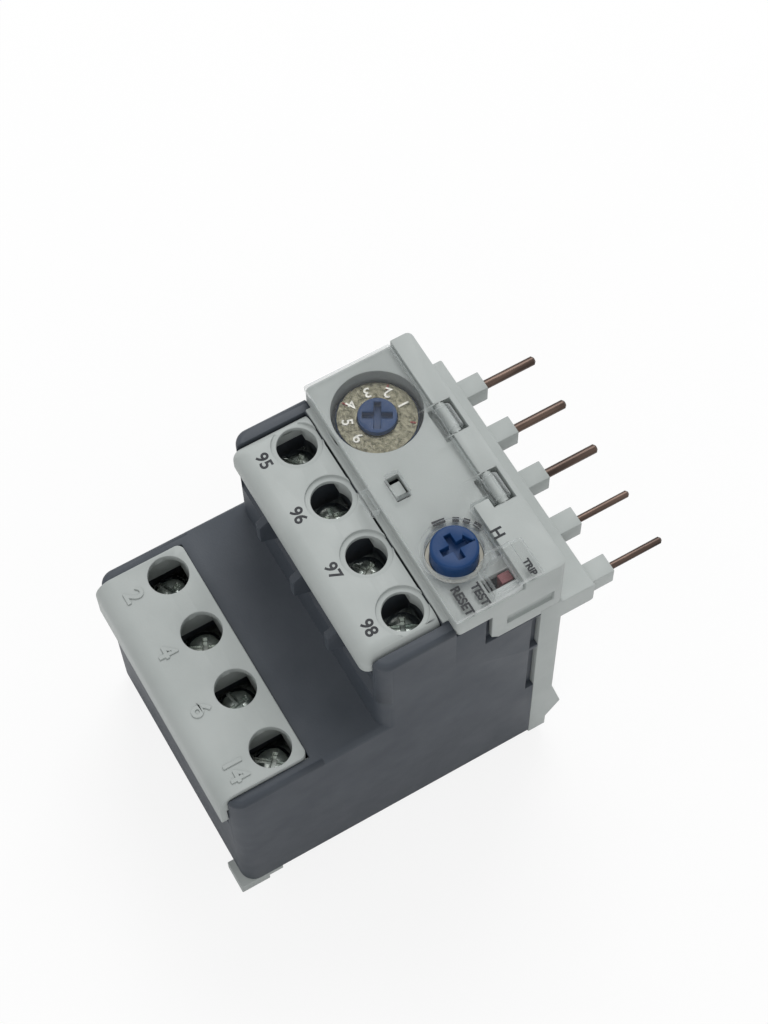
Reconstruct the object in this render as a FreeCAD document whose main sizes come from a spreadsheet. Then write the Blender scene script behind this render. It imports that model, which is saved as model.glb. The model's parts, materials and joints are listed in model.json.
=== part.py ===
import FreeCAD, Part
import os
import re
import Sketcher

# Thermal overload relay for a 45 mm wide mini contactor, lying on its rear face.
# Millimetres. x runs across the case, y from the wire side to the contact pins, z up out of the front.
# The sheet measures y from the wire side of the dark case. ORIGIN_Y then moves every piece, so that
# the finished relay has its origin under the middle of its bounding box.

SIZES = {
    # Dark case
    "case_width": 45.0,
    "case_depth": 53.0,
    "foot_height": 2.5,
    "wall": 1.6,
    "case_round": 1.0,
    "case_corner": 2.5,
    "lower_top": 36.9,
    "step_y": 25.5,
    "upper_top": 58.8,
    "cap_y": 38.3,
    "seat_top": 57.4,
    # Clearances
    "slide_fit": 0.05,
    "seam": 0.1,
    "loose_fit": 0.3,
    # Light cover over the main terminals
    "lower_cover_half": 20.45,
    "cover_front_y": -1.3,
    "lower_cover_back": 14.0,
    "lower_cover_top": 37.7,
    "lower_cover_tall": 4.7,
    "lower_skirt_tall": 8.5,
    "skirt_thick": 1.2,
    "cover_shell": 1.4,
    "lower_nose_round": 3.0,
    "lower_cover_corner": 1.2,
    "lower_hole": 6.5,
    "lower_pitch": 11.0,
    "lower_hole_y": 9.75,
    "tube_wall": 0.7,
    "tube_low": 31.8,
    # Light cover over the auxiliary terminals
    "upper_cover_half": 20.2,
    "upper_cover_front": 24.2,
    "upper_cover_back": 37.1,
    "upper_cover_top": 59.5,
    "upper_band": 4.0,
    "upper_nose_round": 2.5,
    "upper_cover_corner": 1.5,
    "upper_hole": 6.2,
    "upper_ring": 7.8,
    "upper_ring_deep": 0.5,
    "upper_pitch": 10.44,
    "upper_hole_y": 33.3,
    # Ribs and wire entries on the wire side
    "rib_width": 1.3,
    "rib_front": 23.2,
    "rib_low": 47.0,
    "rib_tall": 4.6,
    "rib_rise": 2.2,
    "entry_recess": 1.1,
    "aux_entry_width": 7.2,
    "aux_front_wall": 2.1,
    "wire_notch_width": 6.0,
    "wire_notch_top": 29.2,
    # Main terminals, clamps and screws
    "main_plate_low": 23.6,
    "main_plate_thick": 1.2,
    "main_plate_width": 8.0,
    "main_plate_front": 3.6,
    "main_tail_width": 4.4,
    "main_tail_y": 28.2,
    "spare_tail_y": 20.0,
    "main_foot_low": 8.4,
    "main_foot_y": 36.5,
    "main_clamp_side": 7.6,
    "clamp_thick": 1.0,
    "main_head_low": 29.0,
    "main_head": 6.0,
    "main_head_tall": 2.4,
    "main_thread": 3.5,
    "main_screw_long": 8.0,
    "main_chamber": 9.4,
    "chamber_floor": 1.6,
    # Auxiliary terminals, clamps and screws
    "aux_plate_low": 47.1,
    "aux_plate_width": 6.6,
    "aux_plate_front": 29.4,
    "aux_tail_width": 3.0,
    "aux_tail_low": 38.6,
    "aux_tail_thick": 0.8,
    "aux_clamp_side": 6.4,
    "aux_head_low": 51.5,
    "aux_head": 5.4,
    "aux_head_tall": 2.0,
    "aux_thread": 3.0,
    "aux_screw_long": 7.0,
    "aux_chamber": 8.8,
    "cross_width": 0.9,
    "cross_deep": 1.2,
    # Light front housing
    "front_back": 56.8,
    "front_top": 61.3,
    "front_plate": 1.6,
    "strip_top": 62.8,
    "strip_y": 53.3,
    "plateau_x": 7.8,
    "plateau_y": 49.8,
    "clip_front": 44.4,
    "clip_low": 49.2,
    "clip_thick": 1.0,
    "clip_chamfer": 1.2,
    "gap_front": 43.4,
    "groove_front": 47.0,
    "groove_back": 55.0,
    "groove_low": 52.3,
    "groove_top": 55.0,
    "groove_deep": 0.6,
    "lip_front": 37.3,
    "front_corner": 1.0,
    # Clear cover and its hinge
    "clear_half": 22.3,
    "clear_thick": 1.6,
    "clear_back": 52.9,
    "clear_right_back": 49.4,
    "clear_right_x": 7.4,
    "clear_bevel": 0.5,
    "hinge_y": 54.2,
    "hinge_z": 62.0,
    "hinge_bar": 1.6,
    "hinge_bore_fit": 0.1,
    "knuckle": 3.0,
    "knuckle_long": 4.0,
    "knuckle_x": 6.7,
    "pocket_long": 5.8,
    "pocket_front": 52.3,
    "pocket_back": 56.0,
    "pocket_floor": 60.2,
    "latch_left": -2.7,
    "latch_right": 1.1,
    "latch_y": 36.5,
    "latch_drop": 1.2,
    "rim_tall": 0.6,
    "rim_wall": 0.7,
    "window_left": 15.8,
    "window_front": 44.6,
    "window_back": 50.9,
    "window_top": 64.3,
    "window_wall": 1.0,
    "flange_top": 63.7,
    # Setting dial
    "dial_x": -13.6,
    "dial_y": 45.95,
    "bezel": 14.0,
    "bezel_wall": 1.0,
    "dial_flange": 12.6,
    "dial_low": 57.8,
    "ring_top": 59.4,
    "ring_thick": 0.15,
    "ring_outer": 12.4,
    "hub": 6.0,
    "hub_top": 60.2,
    "hub_cross_long": 4.6,
    "hub_cross_width": 1.1,
    "hub_cross_deep": 1.2,
    "dial_cross_angle": 59.5,
    "dial_shaft": 4.0,
    "dial_shaft_low": 53.0,
    "dial_bearing_low": 54.4,
    "bearing_wall": 1.4,
    "cam": 2.6,
    "cam_shift": 0.6,
    "cam_low": 50.5,
    # Lever under the dial
    "adjust_x": -11.0,
    "adjust_y": 49.6,
    "adjust_pin": 1.8,
    "adjust_wide": 1.8,
    "adjust_tip": 40.6,
    "adjust_low": 50.6,
    "adjust_top": 52.8,
    "adjust_pin_top": 55.0,
    "adjust_boss_low": 53.2,
    # Reset button
    "reset_x": 12.8,
    "reset_y": 43.6,
    "button": 7.2,
    "button_top": 64.5,
    "button_low": 57.2,
    "button_slot_long": 4.4,
    "button_slot_wide": 1.1,
    "button_slot_deep": 1.3,
    "button_stem": 3.8,
    "stem_low": 53.0,
    "spring_bore": 6.0,
    "spring_seat": 61.1,
    "spring_mean": 4.9,
    "spring_wire": 0.5,
    "spring_turns": 4.0,
    "sleeve_wall": 0.6,
    "sleeve_top": 61.2,
    "key_wide": 1.2,
    "key_deep": 0.45,
    "reset_travel": 2.0,
    "cup_floor": 54.6,
    "cup_floor_thick": 1.2,
    "cup_wall": 0.85,
    "cover_hole_gap": 0.8,
    # Test slider
    "test_x": -1.0,
    "test_y": 42.15,
    "test_long": 2.2,
    "test_wide": 1.8,
    "test_top": 60.8,
    "test_window_left": -3.0,
    "test_window_right": 1.1,
    "test_window_wide": 2.3,
    "test_stem": 1.2,
    "test_stem_low": 53.0,
    "test_travel": 0.8,
    # Trip lever, flag and contact carrier
    "trip_x": 9.0,
    "trip_y": 41.0,
    "trip_shaft": 2.4,
    "trip_hub": 4.0,
    "trip_low": 31.6,
    "trip_top": 54.1,
    "trip_boss_low": 52.0,
    "low_arm_low": 33.6,
    "low_arm_thick": 1.4,
    "mid_arm_low": 41.7,
    "mid_arm_thick": 1.5,
    "high_arm_low": 49.0,
    "high_arm_thick": 1.6,
    "arm_wide": 2.4,
    "carrier_reach": 4.33,
    "strip_x": 15.65,
    "strip_front": 45.0,
    "strip_back": 47.4,
    "strip_thick": 0.6,
    "strip_low": 30.2,
    "flag_x": 19.2,
    "flag_wide": 1.6,
    "flag_front": 47.4,
    "flag_back": 49.3,
    "flag_top": 61.0,
    "flag_foot_front": 41.0,
    "flag_foot_low": 50.8,
    "flag_foot_top": 52.2,
    "flag_pin": 1.2,
    "flag_pin_y": 42.1,
    "flag_travel": 2.2,
    "carrier_y": 44.0,
    "carrier_half": 17.0,
    "carrier_wide": 1.8,
    "carrier_low": 38.6,
    "carrier_top": 41.4,
    "carrier_pin": 1.4,
    "carrier_pin_y": 43.4,
    "carrier_slot_long": 2.6,
    "carrier_slot_shift": 0.4,
    "bridge_thick": 0.4,
    "bridge_tall": 2.0,
    "bridge_half": 6.2,
    "contact_open": 1.1,
    # Bimetal strips, heaters and shift bars
    "bimetal_thick": 1.0,
    "bimetal_front": 31.0,
    "bimetal_back": 36.0,
    "bimetal_top": 33.2,
    "heater_half": 2.4,
    "heater_front": 29.6,
    "heater_back": 37.2,
    "heater_gap": 0.3,
    "heater_low": 14.0,
    "heater_ribbon": 1.0,
    "heater_pitch": 1.7,
    "heater_turns": 8.0,
    "bar_low": 30.0,
    "bar_top": 33.0,
    "bar_left": -19.4,
    "bar_right": 18.8,
    "bar_wide": 2.5,
    "upper_bar_y": 38.15,
    "lower_bar_y": 28.85,
    "tab_thick": 1.2,
    "tab_reach": 32.5,
    "lower_tab_reach": 34.5,
    "lower_tab_gap": 0.7,
    "finger_x": 13.4,
    "finger_tip": 46.4,
    "finger_bump": 1.2,
    "shelf_wide": 3.6,
    "shelf_thick": 1.5,
    "balance_x": 12.4,
    "balance_wide": 2.6,
    "balance_thick": 1.4,
    "balance_pin": 1.6,
    "balance_slot_long": 2.2,
    # Light frame on the pin side
    "frame_top": 50.0,
    "frame_low": 1.6,
    "frame_wall": 1.6,
    "hook_y": 58.8,
    "hook_tip": 8.4,
    "hook_top": 16.8,
    "hook_root": 4.7,
    "hook_back": 56.2,
    "shelf_y": 62.5,
    "shelf_low": 44.0,
    "shelf_top": 49.3,
    "tower_y": 66.5,
    "tower_width": 3.35,
    "tower_low": 44.6,
    "tower_top": 48.3,
    # Contact pins
    "pin_pitch": 9.15,
    "pin_middle": 1.7,
    "pin_z": 46.2,
    "pin_tip_y": 76.0,
    "power_pin": 1.5,
    "control_pin": 1.15,
    "pin_chamfer": 0.3,
    "pin_collar": 0.2,
    "pin_collar_out": 0.3,
    "pin_root_y": 48.4,
    "blade_thick": 1.2,
    "blade_low": 38.0,
    "blade_rise": 1.2,
    "power_blade": 2.4,
    "control_blade": 1.5,
    # Rear base plate
    "base_low": 1.3,
    "base_top": 4.1,
    "base_seam": 0.1,
    "corner_foot": 5.0,
    "corner_foot_front": -1.1,
    "corner_foot_back": 4.0,
    "corner_step_back": 6.5,
    "rear_foot_x": 13.0,
    "rear_foot_wide": 5.0,
    "rear_foot_front": 47.0,
    "post_half": 3.0,
    "post_front": 27.0,
    "post_back": 37.0,
    # Recesses in the side walls of the case
    "side_recess_deep": 1.0,
    "side_recess_front": 51.5,
    "side_recess_low": 22.0,
    "side_recess_split": 37.0,
    "side_recess_next": 38.0,
    "side_recess_top": 48.6,
}

# Places that follow from the sizes
ORIGIN_Y = "(pin_tip_y + cover_front_y) / 2"
HALF = "case_width / 2"
INNER = "case_width / 2 - wall"
CELL_BACK = "lower_cover_back + seam"
CELL_REAR = "lower_cover_back + seam + wall"
AUX_BACK = "cap_y - wall"
MAIN_PLATE_TOP = "main_plate_low + main_plate_thick"
AUX_PLATE_TOP = "aux_plate_low + main_plate_thick"
AUX_FLOOR = "aux_plate_low - chamber_floor"
COVER_LOW = "lower_cover_top - lower_cover_tall"
BAND_LOW = "upper_cover_top - upper_band"
CLEAR_LOW = "front_top + seam"
CLEAR_TOP = "front_top + seam + clear_thick"
MECH_TOP = "seat_top - wall"
BACK_INNER = "case_depth - wall"
MAIN_X = ["(%s) * lower_pitch" % step for step in (-1.5, -0.5, 0.5, 1.5)]
AUX_X = ["(%s) * upper_pitch" % step for step in (-1.5, -0.5, 0.5, 1.5)]
PIN_X = ["pin_middle + (%d) * pin_pitch" % step for step in (-2, -1, 0, 1, 2)]
# The carrier's two faces, and the fixed contacts that stand before each of them
CARRIER_FRONT = "carrier_y - carrier_wide / 2"
CARRIER_BACK = "carrier_y + carrier_wide / 2"
SLEEVE_BORE = "button + 2 * sleeve_wall + 4 * slide_fit"
CLOSED_FACE = "carrier_y - carrier_wide / 2 - bridge_thick - seam"
OPEN_FACE = "carrier_y + carrier_wide / 2 + bridge_thick + contact_open"

doc = FreeCAD.newDocument("OverloadRelay")
sheet = doc.addObject("Spreadsheet::Sheet", "Sizes")
for row, (alias, number) in enumerate(SIZES.items(), 1):
    sheet.set("A%d" % row, alias.replace("_", " "))
    sheet.set("B%d" % row, str(number))
    sheet.setAlias("B%d" % row, alias)
doc.recompute()


def bound(text):
    """Return an expression in which every size is read from the sheet."""
    def name(word):
        return "Sizes." + word.group() if word.group() in SIZES else word.group()

    return re.sub(r"[a-z]\w+", name, text)


def value(text):
    """Return what an expression comes to with the sheet's present sizes."""
    return float(sheet.evalExpression(bound(text)))


def bind(item, name, text):
    item.setExpression(name, bound(text))


def pin_size(number):
    """The first three pins carry the motor's current and are thicker."""
    return "power_pin" if number < 3 else "control_pin"


def pin_hole(number, x):
    """The hole that a pin's collar passes through."""
    return disc(x, "pin_z", pin_size(number) + " + 2 * pin_collar + 2 * slide_fit")


def rect(left, right, low, high):
    return [(left, low), (right, low), (right, high), (left, high)]


def disc(u, v, diameter):
    """A circle's middle and diameter, as a sketch takes them beside outlines of corners."""
    return {"middle": (u, v), "diameter": diameter}


def band(middle, width, low, high):
    """A rectangle of a given width about a middle line."""
    return rect("%s - (%s) / 2" % (middle, width), "%s + (%s) / 2" % (middle, width), low, high)


class Piece:
    """A sub-part: one body whose pads, pockets and revolutions follow the sheet."""

    def __init__(self, label):
        self.body = doc.addObject("PartDesign::Body", label)
        self.body.Label = label
        bind(self.body, "Placement.Base.y", "-(" + ORIGIN_Y + ")")
        pieces.append(self.body)

    def sketch(self, plane, level, middle=("0", "0")):
        """Start a sketch on an origin plane, moved along the plane's normal and in the plane."""
        sketch = self.body.newObject("Sketcher::SketchObject", "Sketch")
        found = [item for item in self.body.Origin.OriginFeatures if item.Role == plane + "_Plane"]
        sketch.AttachmentSupport = (found[0], [""])
        sketch.MapMode = "FlatFace"
        side = "-" if plane == "XZ" else ""
        bind(sketch, "AttachmentOffset.Base.x", middle[0])
        bind(sketch, "AttachmentOffset.Base.y", middle[1])
        bind(sketch, "AttachmentOffset.Base.z", "%s(%s)" % (side, level))
        return sketch

    def constrain(self, sketch, constraint, text):
        number = sketch.addConstraint(constraint)
        bind(sketch, "Constraints[%d]" % number, text)

    def place(self, sketch, geometry, point, u, v):
        """Bind a point of the sketch to two expressions, measured from the sketch's origin."""
        for kind, text in (("DistanceX", u), ("DistanceY", v)):
            self.constrain(sketch, Sketcher.Constraint(kind, -1, 1, geometry, point, value(text)), text)

    def polygon(self, sketch, points):
        """Draw a closed outline whose corners are bound to the sheet."""
        first = sketch.GeometryCount
        count = len(points)
        spots = [FreeCAD.Vector(value(u), value(v), 0) for u, v in points]
        lines = [Part.LineSegment(spots[n], spots[(n + 1) % count]) for n in range(count)]
        sketch.addGeometry(lines, False)
        for n in range(count):
            sketch.addConstraint(Sketcher.Constraint("Coincident", first + n, 2, first + (n + 1) % count, 1))
        for n, (u, v) in enumerate(points):
            self.place(sketch, first + n, 1, u, v)

    def circle(self, sketch, middle, diameter):
        u, v = middle
        across = value(diameter)
        spot = FreeCAD.Vector(value(u), value(v), 0)
        index = sketch.addGeometry(Part.Circle(spot, FreeCAD.Vector(0, 0, 1), across / 2))
        self.place(sketch, index, 3, u, v)
        self.constrain(sketch, Sketcher.Constraint("Diameter", index, across), diameter)

    def extrude(self, kind, plane, level, low, high, outlines):
        sketch = self.sketch(plane, level)
        for outline in outlines:
            if isinstance(outline, dict):
                self.circle(sketch, **outline)
            else:
                self.polygon(sketch, outline)
        item = self.body.newObject("PartDesign::" + kind, kind)
        item.Profile = sketch
        bind(item, "Length", "(%s) - (%s)" % (high, low))

    def add(self, plane, low, high, *outlines):
        """Pad outlines from low to high along the third axis."""
        self.extrude("Pad", plane, high if plane == "XZ" else low, low, high, outlines)

    def cut(self, plane, low, high, *outlines):
        """Pocket outlines from low to high along the third axis."""
        self.extrude("Pocket", plane, low if plane == "XZ" else high, low, high, outlines)

    def turn(self, plane, middle, level, points):
        """Revolve a half outline about the upright line through the sketch's middle."""
        sketch = self.sketch(plane, level, middle)
        self.polygon(sketch, points)
        item = self.body.newObject("PartDesign::Revolution", "Revolution")
        item.Profile = sketch
        item.ReferenceAxis = (sketch, ["V_Axis"])
        item.Angle = 360

    def edges(self, along, places):
        """Name the straight edges along an axis whose middles lie at the given places."""
        doc.recompute()
        direction = {"x": 0, "y": 1, "z": 2}
        names = []
        for number, edge in enumerate(self.body.Tip.Shape.Edges, 1):
            run = edge.lastVertex().Point - edge.firstVertex().Point
            middle = edge.CenterOfMass
            if abs(run[direction[along]]) < edge.Length - 1e-6 or edge.Length < 1e-6:
                continue
            for place in places:
                if all(abs(middle[direction[axis]] - value(text)) < 1e-3 for axis, text in place.items()):
                    names.append("Edge%d" % number)
                    break
        return names

    def finish_edges(self, kind, size, along, places):
        """Round or chamfer the straight edges found at the given places."""
        names = self.edges(along, places)
        base = self.body.Tip
        item = self.body.newObject("PartDesign::" + kind, kind)
        item.Base = (base, names)
        bind(item, "Radius" if kind == "Fillet" else "Size", size)


pieces = []


def main_housing():
    """The shell round the mechanism, open below and towards both terminal blocks."""
    case = Piece("main_housing")
    profile = [
        (CELL_REAR, "foot_height"), ("case_depth", "foot_height"), ("case_depth", "seat_top"),
        ("cap_y", "seat_top"), ("cap_y", AUX_FLOOR), ("step_y", AUX_FLOOR), ("step_y", "lower_top"),
        (CELL_REAR, "lower_top")]
    case.add("YZ", "-" + HALF, HALF, profile)
    case.finish_edges("Fillet", "case_corner", "z", [{"x": side + HALF, "y": "step_y"} for side in ("", "-")])
    case.finish_edges("Fillet", "case_round", "y", [{"x": side + HALF, "z": "lower_top"} for side in ("", "-")])
    mechanism = [
        (CELL_REAR, "foot_height"), (BACK_INNER, "foot_height"), (BACK_INNER, MECH_TOP), ("cap_y", MECH_TOP),
        ("cap_y", AUX_FLOOR), ("step_y + wall", AUX_FLOOR), ("step_y + wall", "lower_top - wall"),
        (CELL_REAR, "lower_top - wall")]
    case.cut("YZ", "-(" + INNER + ")", INNER, mechanism)
    side_recesses(case)
    mechanism_supports(case)
    front_openings(case)
    case.cut("XZ", BACK_INNER, "case_depth", *[pin_hole(number, x) for number, x in enumerate(PIN_X)])


def side_recesses(case):
    """Room for the clips of the front housing and the dark recesses below them, on both sides."""
    clip = rect("gap_front", "case_depth", "clip_low - seam", "seat_top")
    recesses = [rect("side_recess_front", "case_depth", "side_recess_low", "side_recess_split"),
                rect("side_recess_front", "case_depth", "side_recess_next", "side_recess_top")]
    for outlines, deep in (([clip], "(clip_thick + slide_fit)"), (recesses, "side_recess_deep")):
        case.cut("YZ", "%s - %s" % (HALF, deep), HALF, *outlines)
        case.cut("YZ", "-" + HALF, "%s - %s" % (deep, HALF), *outlines)


def mechanism_supports(case):
    """Shelves, a rib, bosses and the reset cup that carry what moves inside the case."""
    shelf = rect("step_y + wall", "upper_bar_y + bar_wide / 2",
                 "bar_low - seam - shelf_thick", "bar_low - seam")
    case.add("YZ", "-(" + INNER + ")", "shelf_wide - (%s)" % INNER, shelf)
    case.add("YZ", "%s - shelf_wide" % INNER, INNER, shelf)
    rib = band("trip_x", "trip_hub", "upper_bar_y + bar_wide / 2 + 2 * seam", BACK_INNER)
    case.add("XY", "trip_low - seam", "low_arm_low - seam", rib)
    case.cut("XY", "trip_low - seam", "low_arm_low - seam",
             disc("trip_x", "trip_y", "trip_shaft + 2 * slide_fit"))
    case.add("XY", "cup_floor - cup_floor_thick", "seat_top",
             disc("reset_x", "reset_y", SLEEVE_BORE + " + 2 * cup_wall"))
    case.add("XY", "trip_boss_low", MECH_TOP, disc("trip_x", "trip_y", "trip_shaft + 2 * bearing_wall"))
    case.cut("XY", "trip_boss_low", "trip_top + seam", disc("trip_x", "trip_y", "trip_shaft + 2 * slide_fit"))
    case.add("XY", "dial_bearing_low", MECH_TOP, disc("dial_x", "dial_y", "dial_shaft + 2 * bearing_wall"))
    case.add("XY", "adjust_boss_low", MECH_TOP, disc("adjust_x", "adjust_y", "adjust_pin + 2 * wall"))
    case.cut("XY", "adjust_boss_low", "adjust_pin_top + seam",
             disc("adjust_x", "adjust_y", "adjust_pin + 2 * slide_fit"))


def front_openings(case):
    """Holes in the case's top for the dial shaft, the reset button, the test slider and the flag."""
    case.cut("XY", "adjust_boss_low", "seat_top", disc("dial_x", "dial_y", "dial_shaft + 2 * slide_fit"))
    case.cut("XY", "cup_floor", "seat_top", disc("reset_x", "reset_y", SLEEVE_BORE))
    case.cut("XY", "cup_floor - cup_floor_thick", "cup_floor",
             disc("reset_x", "reset_y", "button_stem + 2 * slide_fit"))
    test = rect("test_x - test_stem / 2 - seam", "test_x + test_stem / 2 + test_travel + seam",
                "test_y - test_stem / 2 - seam", "test_y + test_stem / 2 + seam")
    flag = band("flag_x", "flag_wide + 2 * seam", "flag_front - flag_travel - seam", "flag_back + seam")
    case.cut("XY", MECH_TOP, "seat_top", test, flag)


def main_terminal_block():
    """Four open cells for the main terminals, with a wire notch before and a slot behind each."""
    block = Piece("main_terminal_block")
    block.add("YZ", "-" + HALF, HALF, rect("0", CELL_REAR, "foot_height", "lower_top"))
    block.finish_edges("Fillet", "case_corner", "z", [{"x": side + HALF, "y": "0"} for side in ("", "-")])
    block.finish_edges("Fillet", "case_round", "y",
                       [{"x": side + HALF, "z": "lower_top"} for side in ("", "-")])
    under = [("wall", "foot_height"), (CELL_REAR, "foot_height"), (CELL_REAR, "base_top + seam"),
             (CELL_BACK, "base_top + seam"), (CELL_BACK, "main_plate_low - chamber_floor"),
             ("wall", "main_plate_low - chamber_floor")]
    block.cut("YZ", "-(" + INNER + ")", INNER, under)
    half = "(lower_cover_half + seam)"
    block.cut("XY", COVER_LOW + " - seam", "lower_top", rect("-" + half, half, "0", CELL_BACK))
    cells = [band(x, "main_chamber", "wall", CELL_BACK) for x in MAIN_X]
    block.cut("XY", "main_plate_low", COVER_LOW + " - seam", *cells)
    notches = [band(x, "wire_notch_width", MAIN_PLATE_TOP, "wire_notch_top") for x in MAIN_X]
    block.cut("XZ", "0", "wall", *notches)
    slots = [band(x, "main_tail_width + 2 * seam", "main_plate_low - seam", MAIN_PLATE_TOP + " + seam")
             for x in MAIN_X]
    block.cut("XZ", CELL_BACK, CELL_REAR, *slots)
    holes = [disc(x, "lower_hole_y", "main_thread + 2 * seam") for x in MAIN_X]
    block.cut("XY", "main_plate_low - chamber_floor", "main_plate_low", *holes)


def aux_terminal_block():
    """Four open cells for the auxiliary terminals behind a ribbed wall with wire entries."""
    block = Piece("aux_terminal_block")
    block.add("YZ", "-" + HALF, HALF, rect("step_y", "cap_y", AUX_FLOOR, "upper_top"))
    block.finish_edges("Fillet", "case_corner", "z", [{"x": side + HALF, "y": "step_y"} for side in ("", "-")])
    block.finish_edges("Fillet", "case_round", "y",
                       [{"x": side + HALF, "z": "upper_top"} for side in ("", "-")])
    half = "(upper_cover_half + seam)"
    seat = rect("-" + half, half, "step_y", "upper_cover_back + seam")
    block.cut("XY", BAND_LOW + " - seam", "upper_top", seat)
    recess = [("step_y", AUX_FLOOR), ("step_y", BAND_LOW), ("step_y + entry_recess", BAND_LOW),
              ("step_y + entry_recess", AUX_FLOOR + " + entry_recess")]
    block.cut("YZ", "-" + half, half, recess)
    rib = [("rib_front", "rib_low"), ("step_y + entry_recess", AUX_FLOOR),
           ("step_y + entry_recess", "rib_low + rib_tall + rib_rise"), ("rib_front", "rib_low + rib_tall")]
    for step in ("-upper_pitch", "0", "upper_pitch"):
        block.add("YZ", step + " - rib_width / 2", step + " + rib_width / 2", rib)
    cells = [band(x, "aux_chamber", "step_y + aux_front_wall", AUX_BACK) for x in AUX_X]
    block.cut("XY", "aux_plate_low", BAND_LOW + " - seam", *cells)
    entries = [band(x, "aux_entry_width", AUX_PLATE_TOP, BAND_LOW) for x in AUX_X]
    block.cut("XZ", "step_y + entry_recess", "step_y + aux_front_wall", *entries)
    slots = [rect("%s - aux_tail_width - seam" % x, "%s + seam" % x,
                  "aux_plate_low - seam", AUX_PLATE_TOP + " + seam") for x in AUX_X]
    block.cut("XZ", AUX_BACK, "cap_y", *slots)
    holes = [disc(x, "upper_hole_y", "aux_thread + 2 * seam") for x in AUX_X]
    block.cut("XY", AUX_FLOOR, "aux_plate_low", *holes)


def lower_terminal_cover():
    cover = Piece("lower_terminal_cover")
    half = "lower_cover_half"
    body = [("cover_front_y", "lower_cover_top - lower_skirt_tall"),
            ("cover_front_y + skirt_thick", "lower_cover_top - lower_skirt_tall"),
            ("cover_front_y + skirt_thick", COVER_LOW), ("lower_cover_back", COVER_LOW),
            ("lower_cover_back", "lower_cover_top"), ("cover_front_y", "lower_cover_top")]
    cover.add("YZ", "-" + half, half, body)
    cover.finish_edges("Fillet", "lower_nose_round", "x", [{"y": "cover_front_y", "z": "lower_cover_top"}])
    back = [{"x": side + half, "y": "lower_cover_back"} for side in ("", "-")]
    cover.finish_edges("Fillet", "lower_cover_corner", "z", back)
    cover.cut("XY", COVER_LOW, "lower_cover_top - cover_shell",
              band("0", "2 * (lower_cover_half - cover_shell)", "wall", "lower_cover_back - cover_shell"))
    for side, way in (("lower_hole + 2 * tube_wall", cover.add), ("lower_hole", cover.cut)):
        low = "lower_hole_y - (%s) / 2" % side
        high = "lower_hole_y + (%s) / 2" % side
        way("XY", "tube_low", "lower_cover_top - cover_shell", *[band(x, side, low, high) for x in MAIN_X])
    cover.cut("XY", COVER_LOW, "lower_cover_top", *[disc(x, "lower_hole_y", "lower_hole") for x in MAIN_X])


def upper_terminal_cover():
    cover = Piece("upper_terminal_cover")
    half = "upper_cover_half"
    body = rect("upper_cover_front", "upper_cover_back", BAND_LOW, "upper_cover_top")
    cover.add("YZ", "-" + half, half, body)
    front = [{"x": side + half, "y": "upper_cover_front"} for side in ("", "-")]
    cover.finish_edges("Fillet", "upper_cover_corner", "z", front)
    nose = [{"y": "upper_cover_front", "z": "upper_cover_top"}]
    cover.finish_edges("Fillet", "upper_nose_round", "x", nose)
    cover.cut("XY", BAND_LOW, "upper_cover_top - cover_shell",
              band("0", "2 * (upper_cover_half - cover_shell)",
                   "upper_cover_front + cover_shell", "upper_cover_back - cover_shell"))
    cover.cut("XY", BAND_LOW, "upper_cover_top", *[disc(x, "upper_hole_y", "upper_hole") for x in AUX_X])
    cover.cut("XY", "upper_cover_top - upper_ring_deep", "upper_cover_top",
              *[disc(x, "upper_hole_y", "upper_ring") for x in AUX_X])


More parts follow.
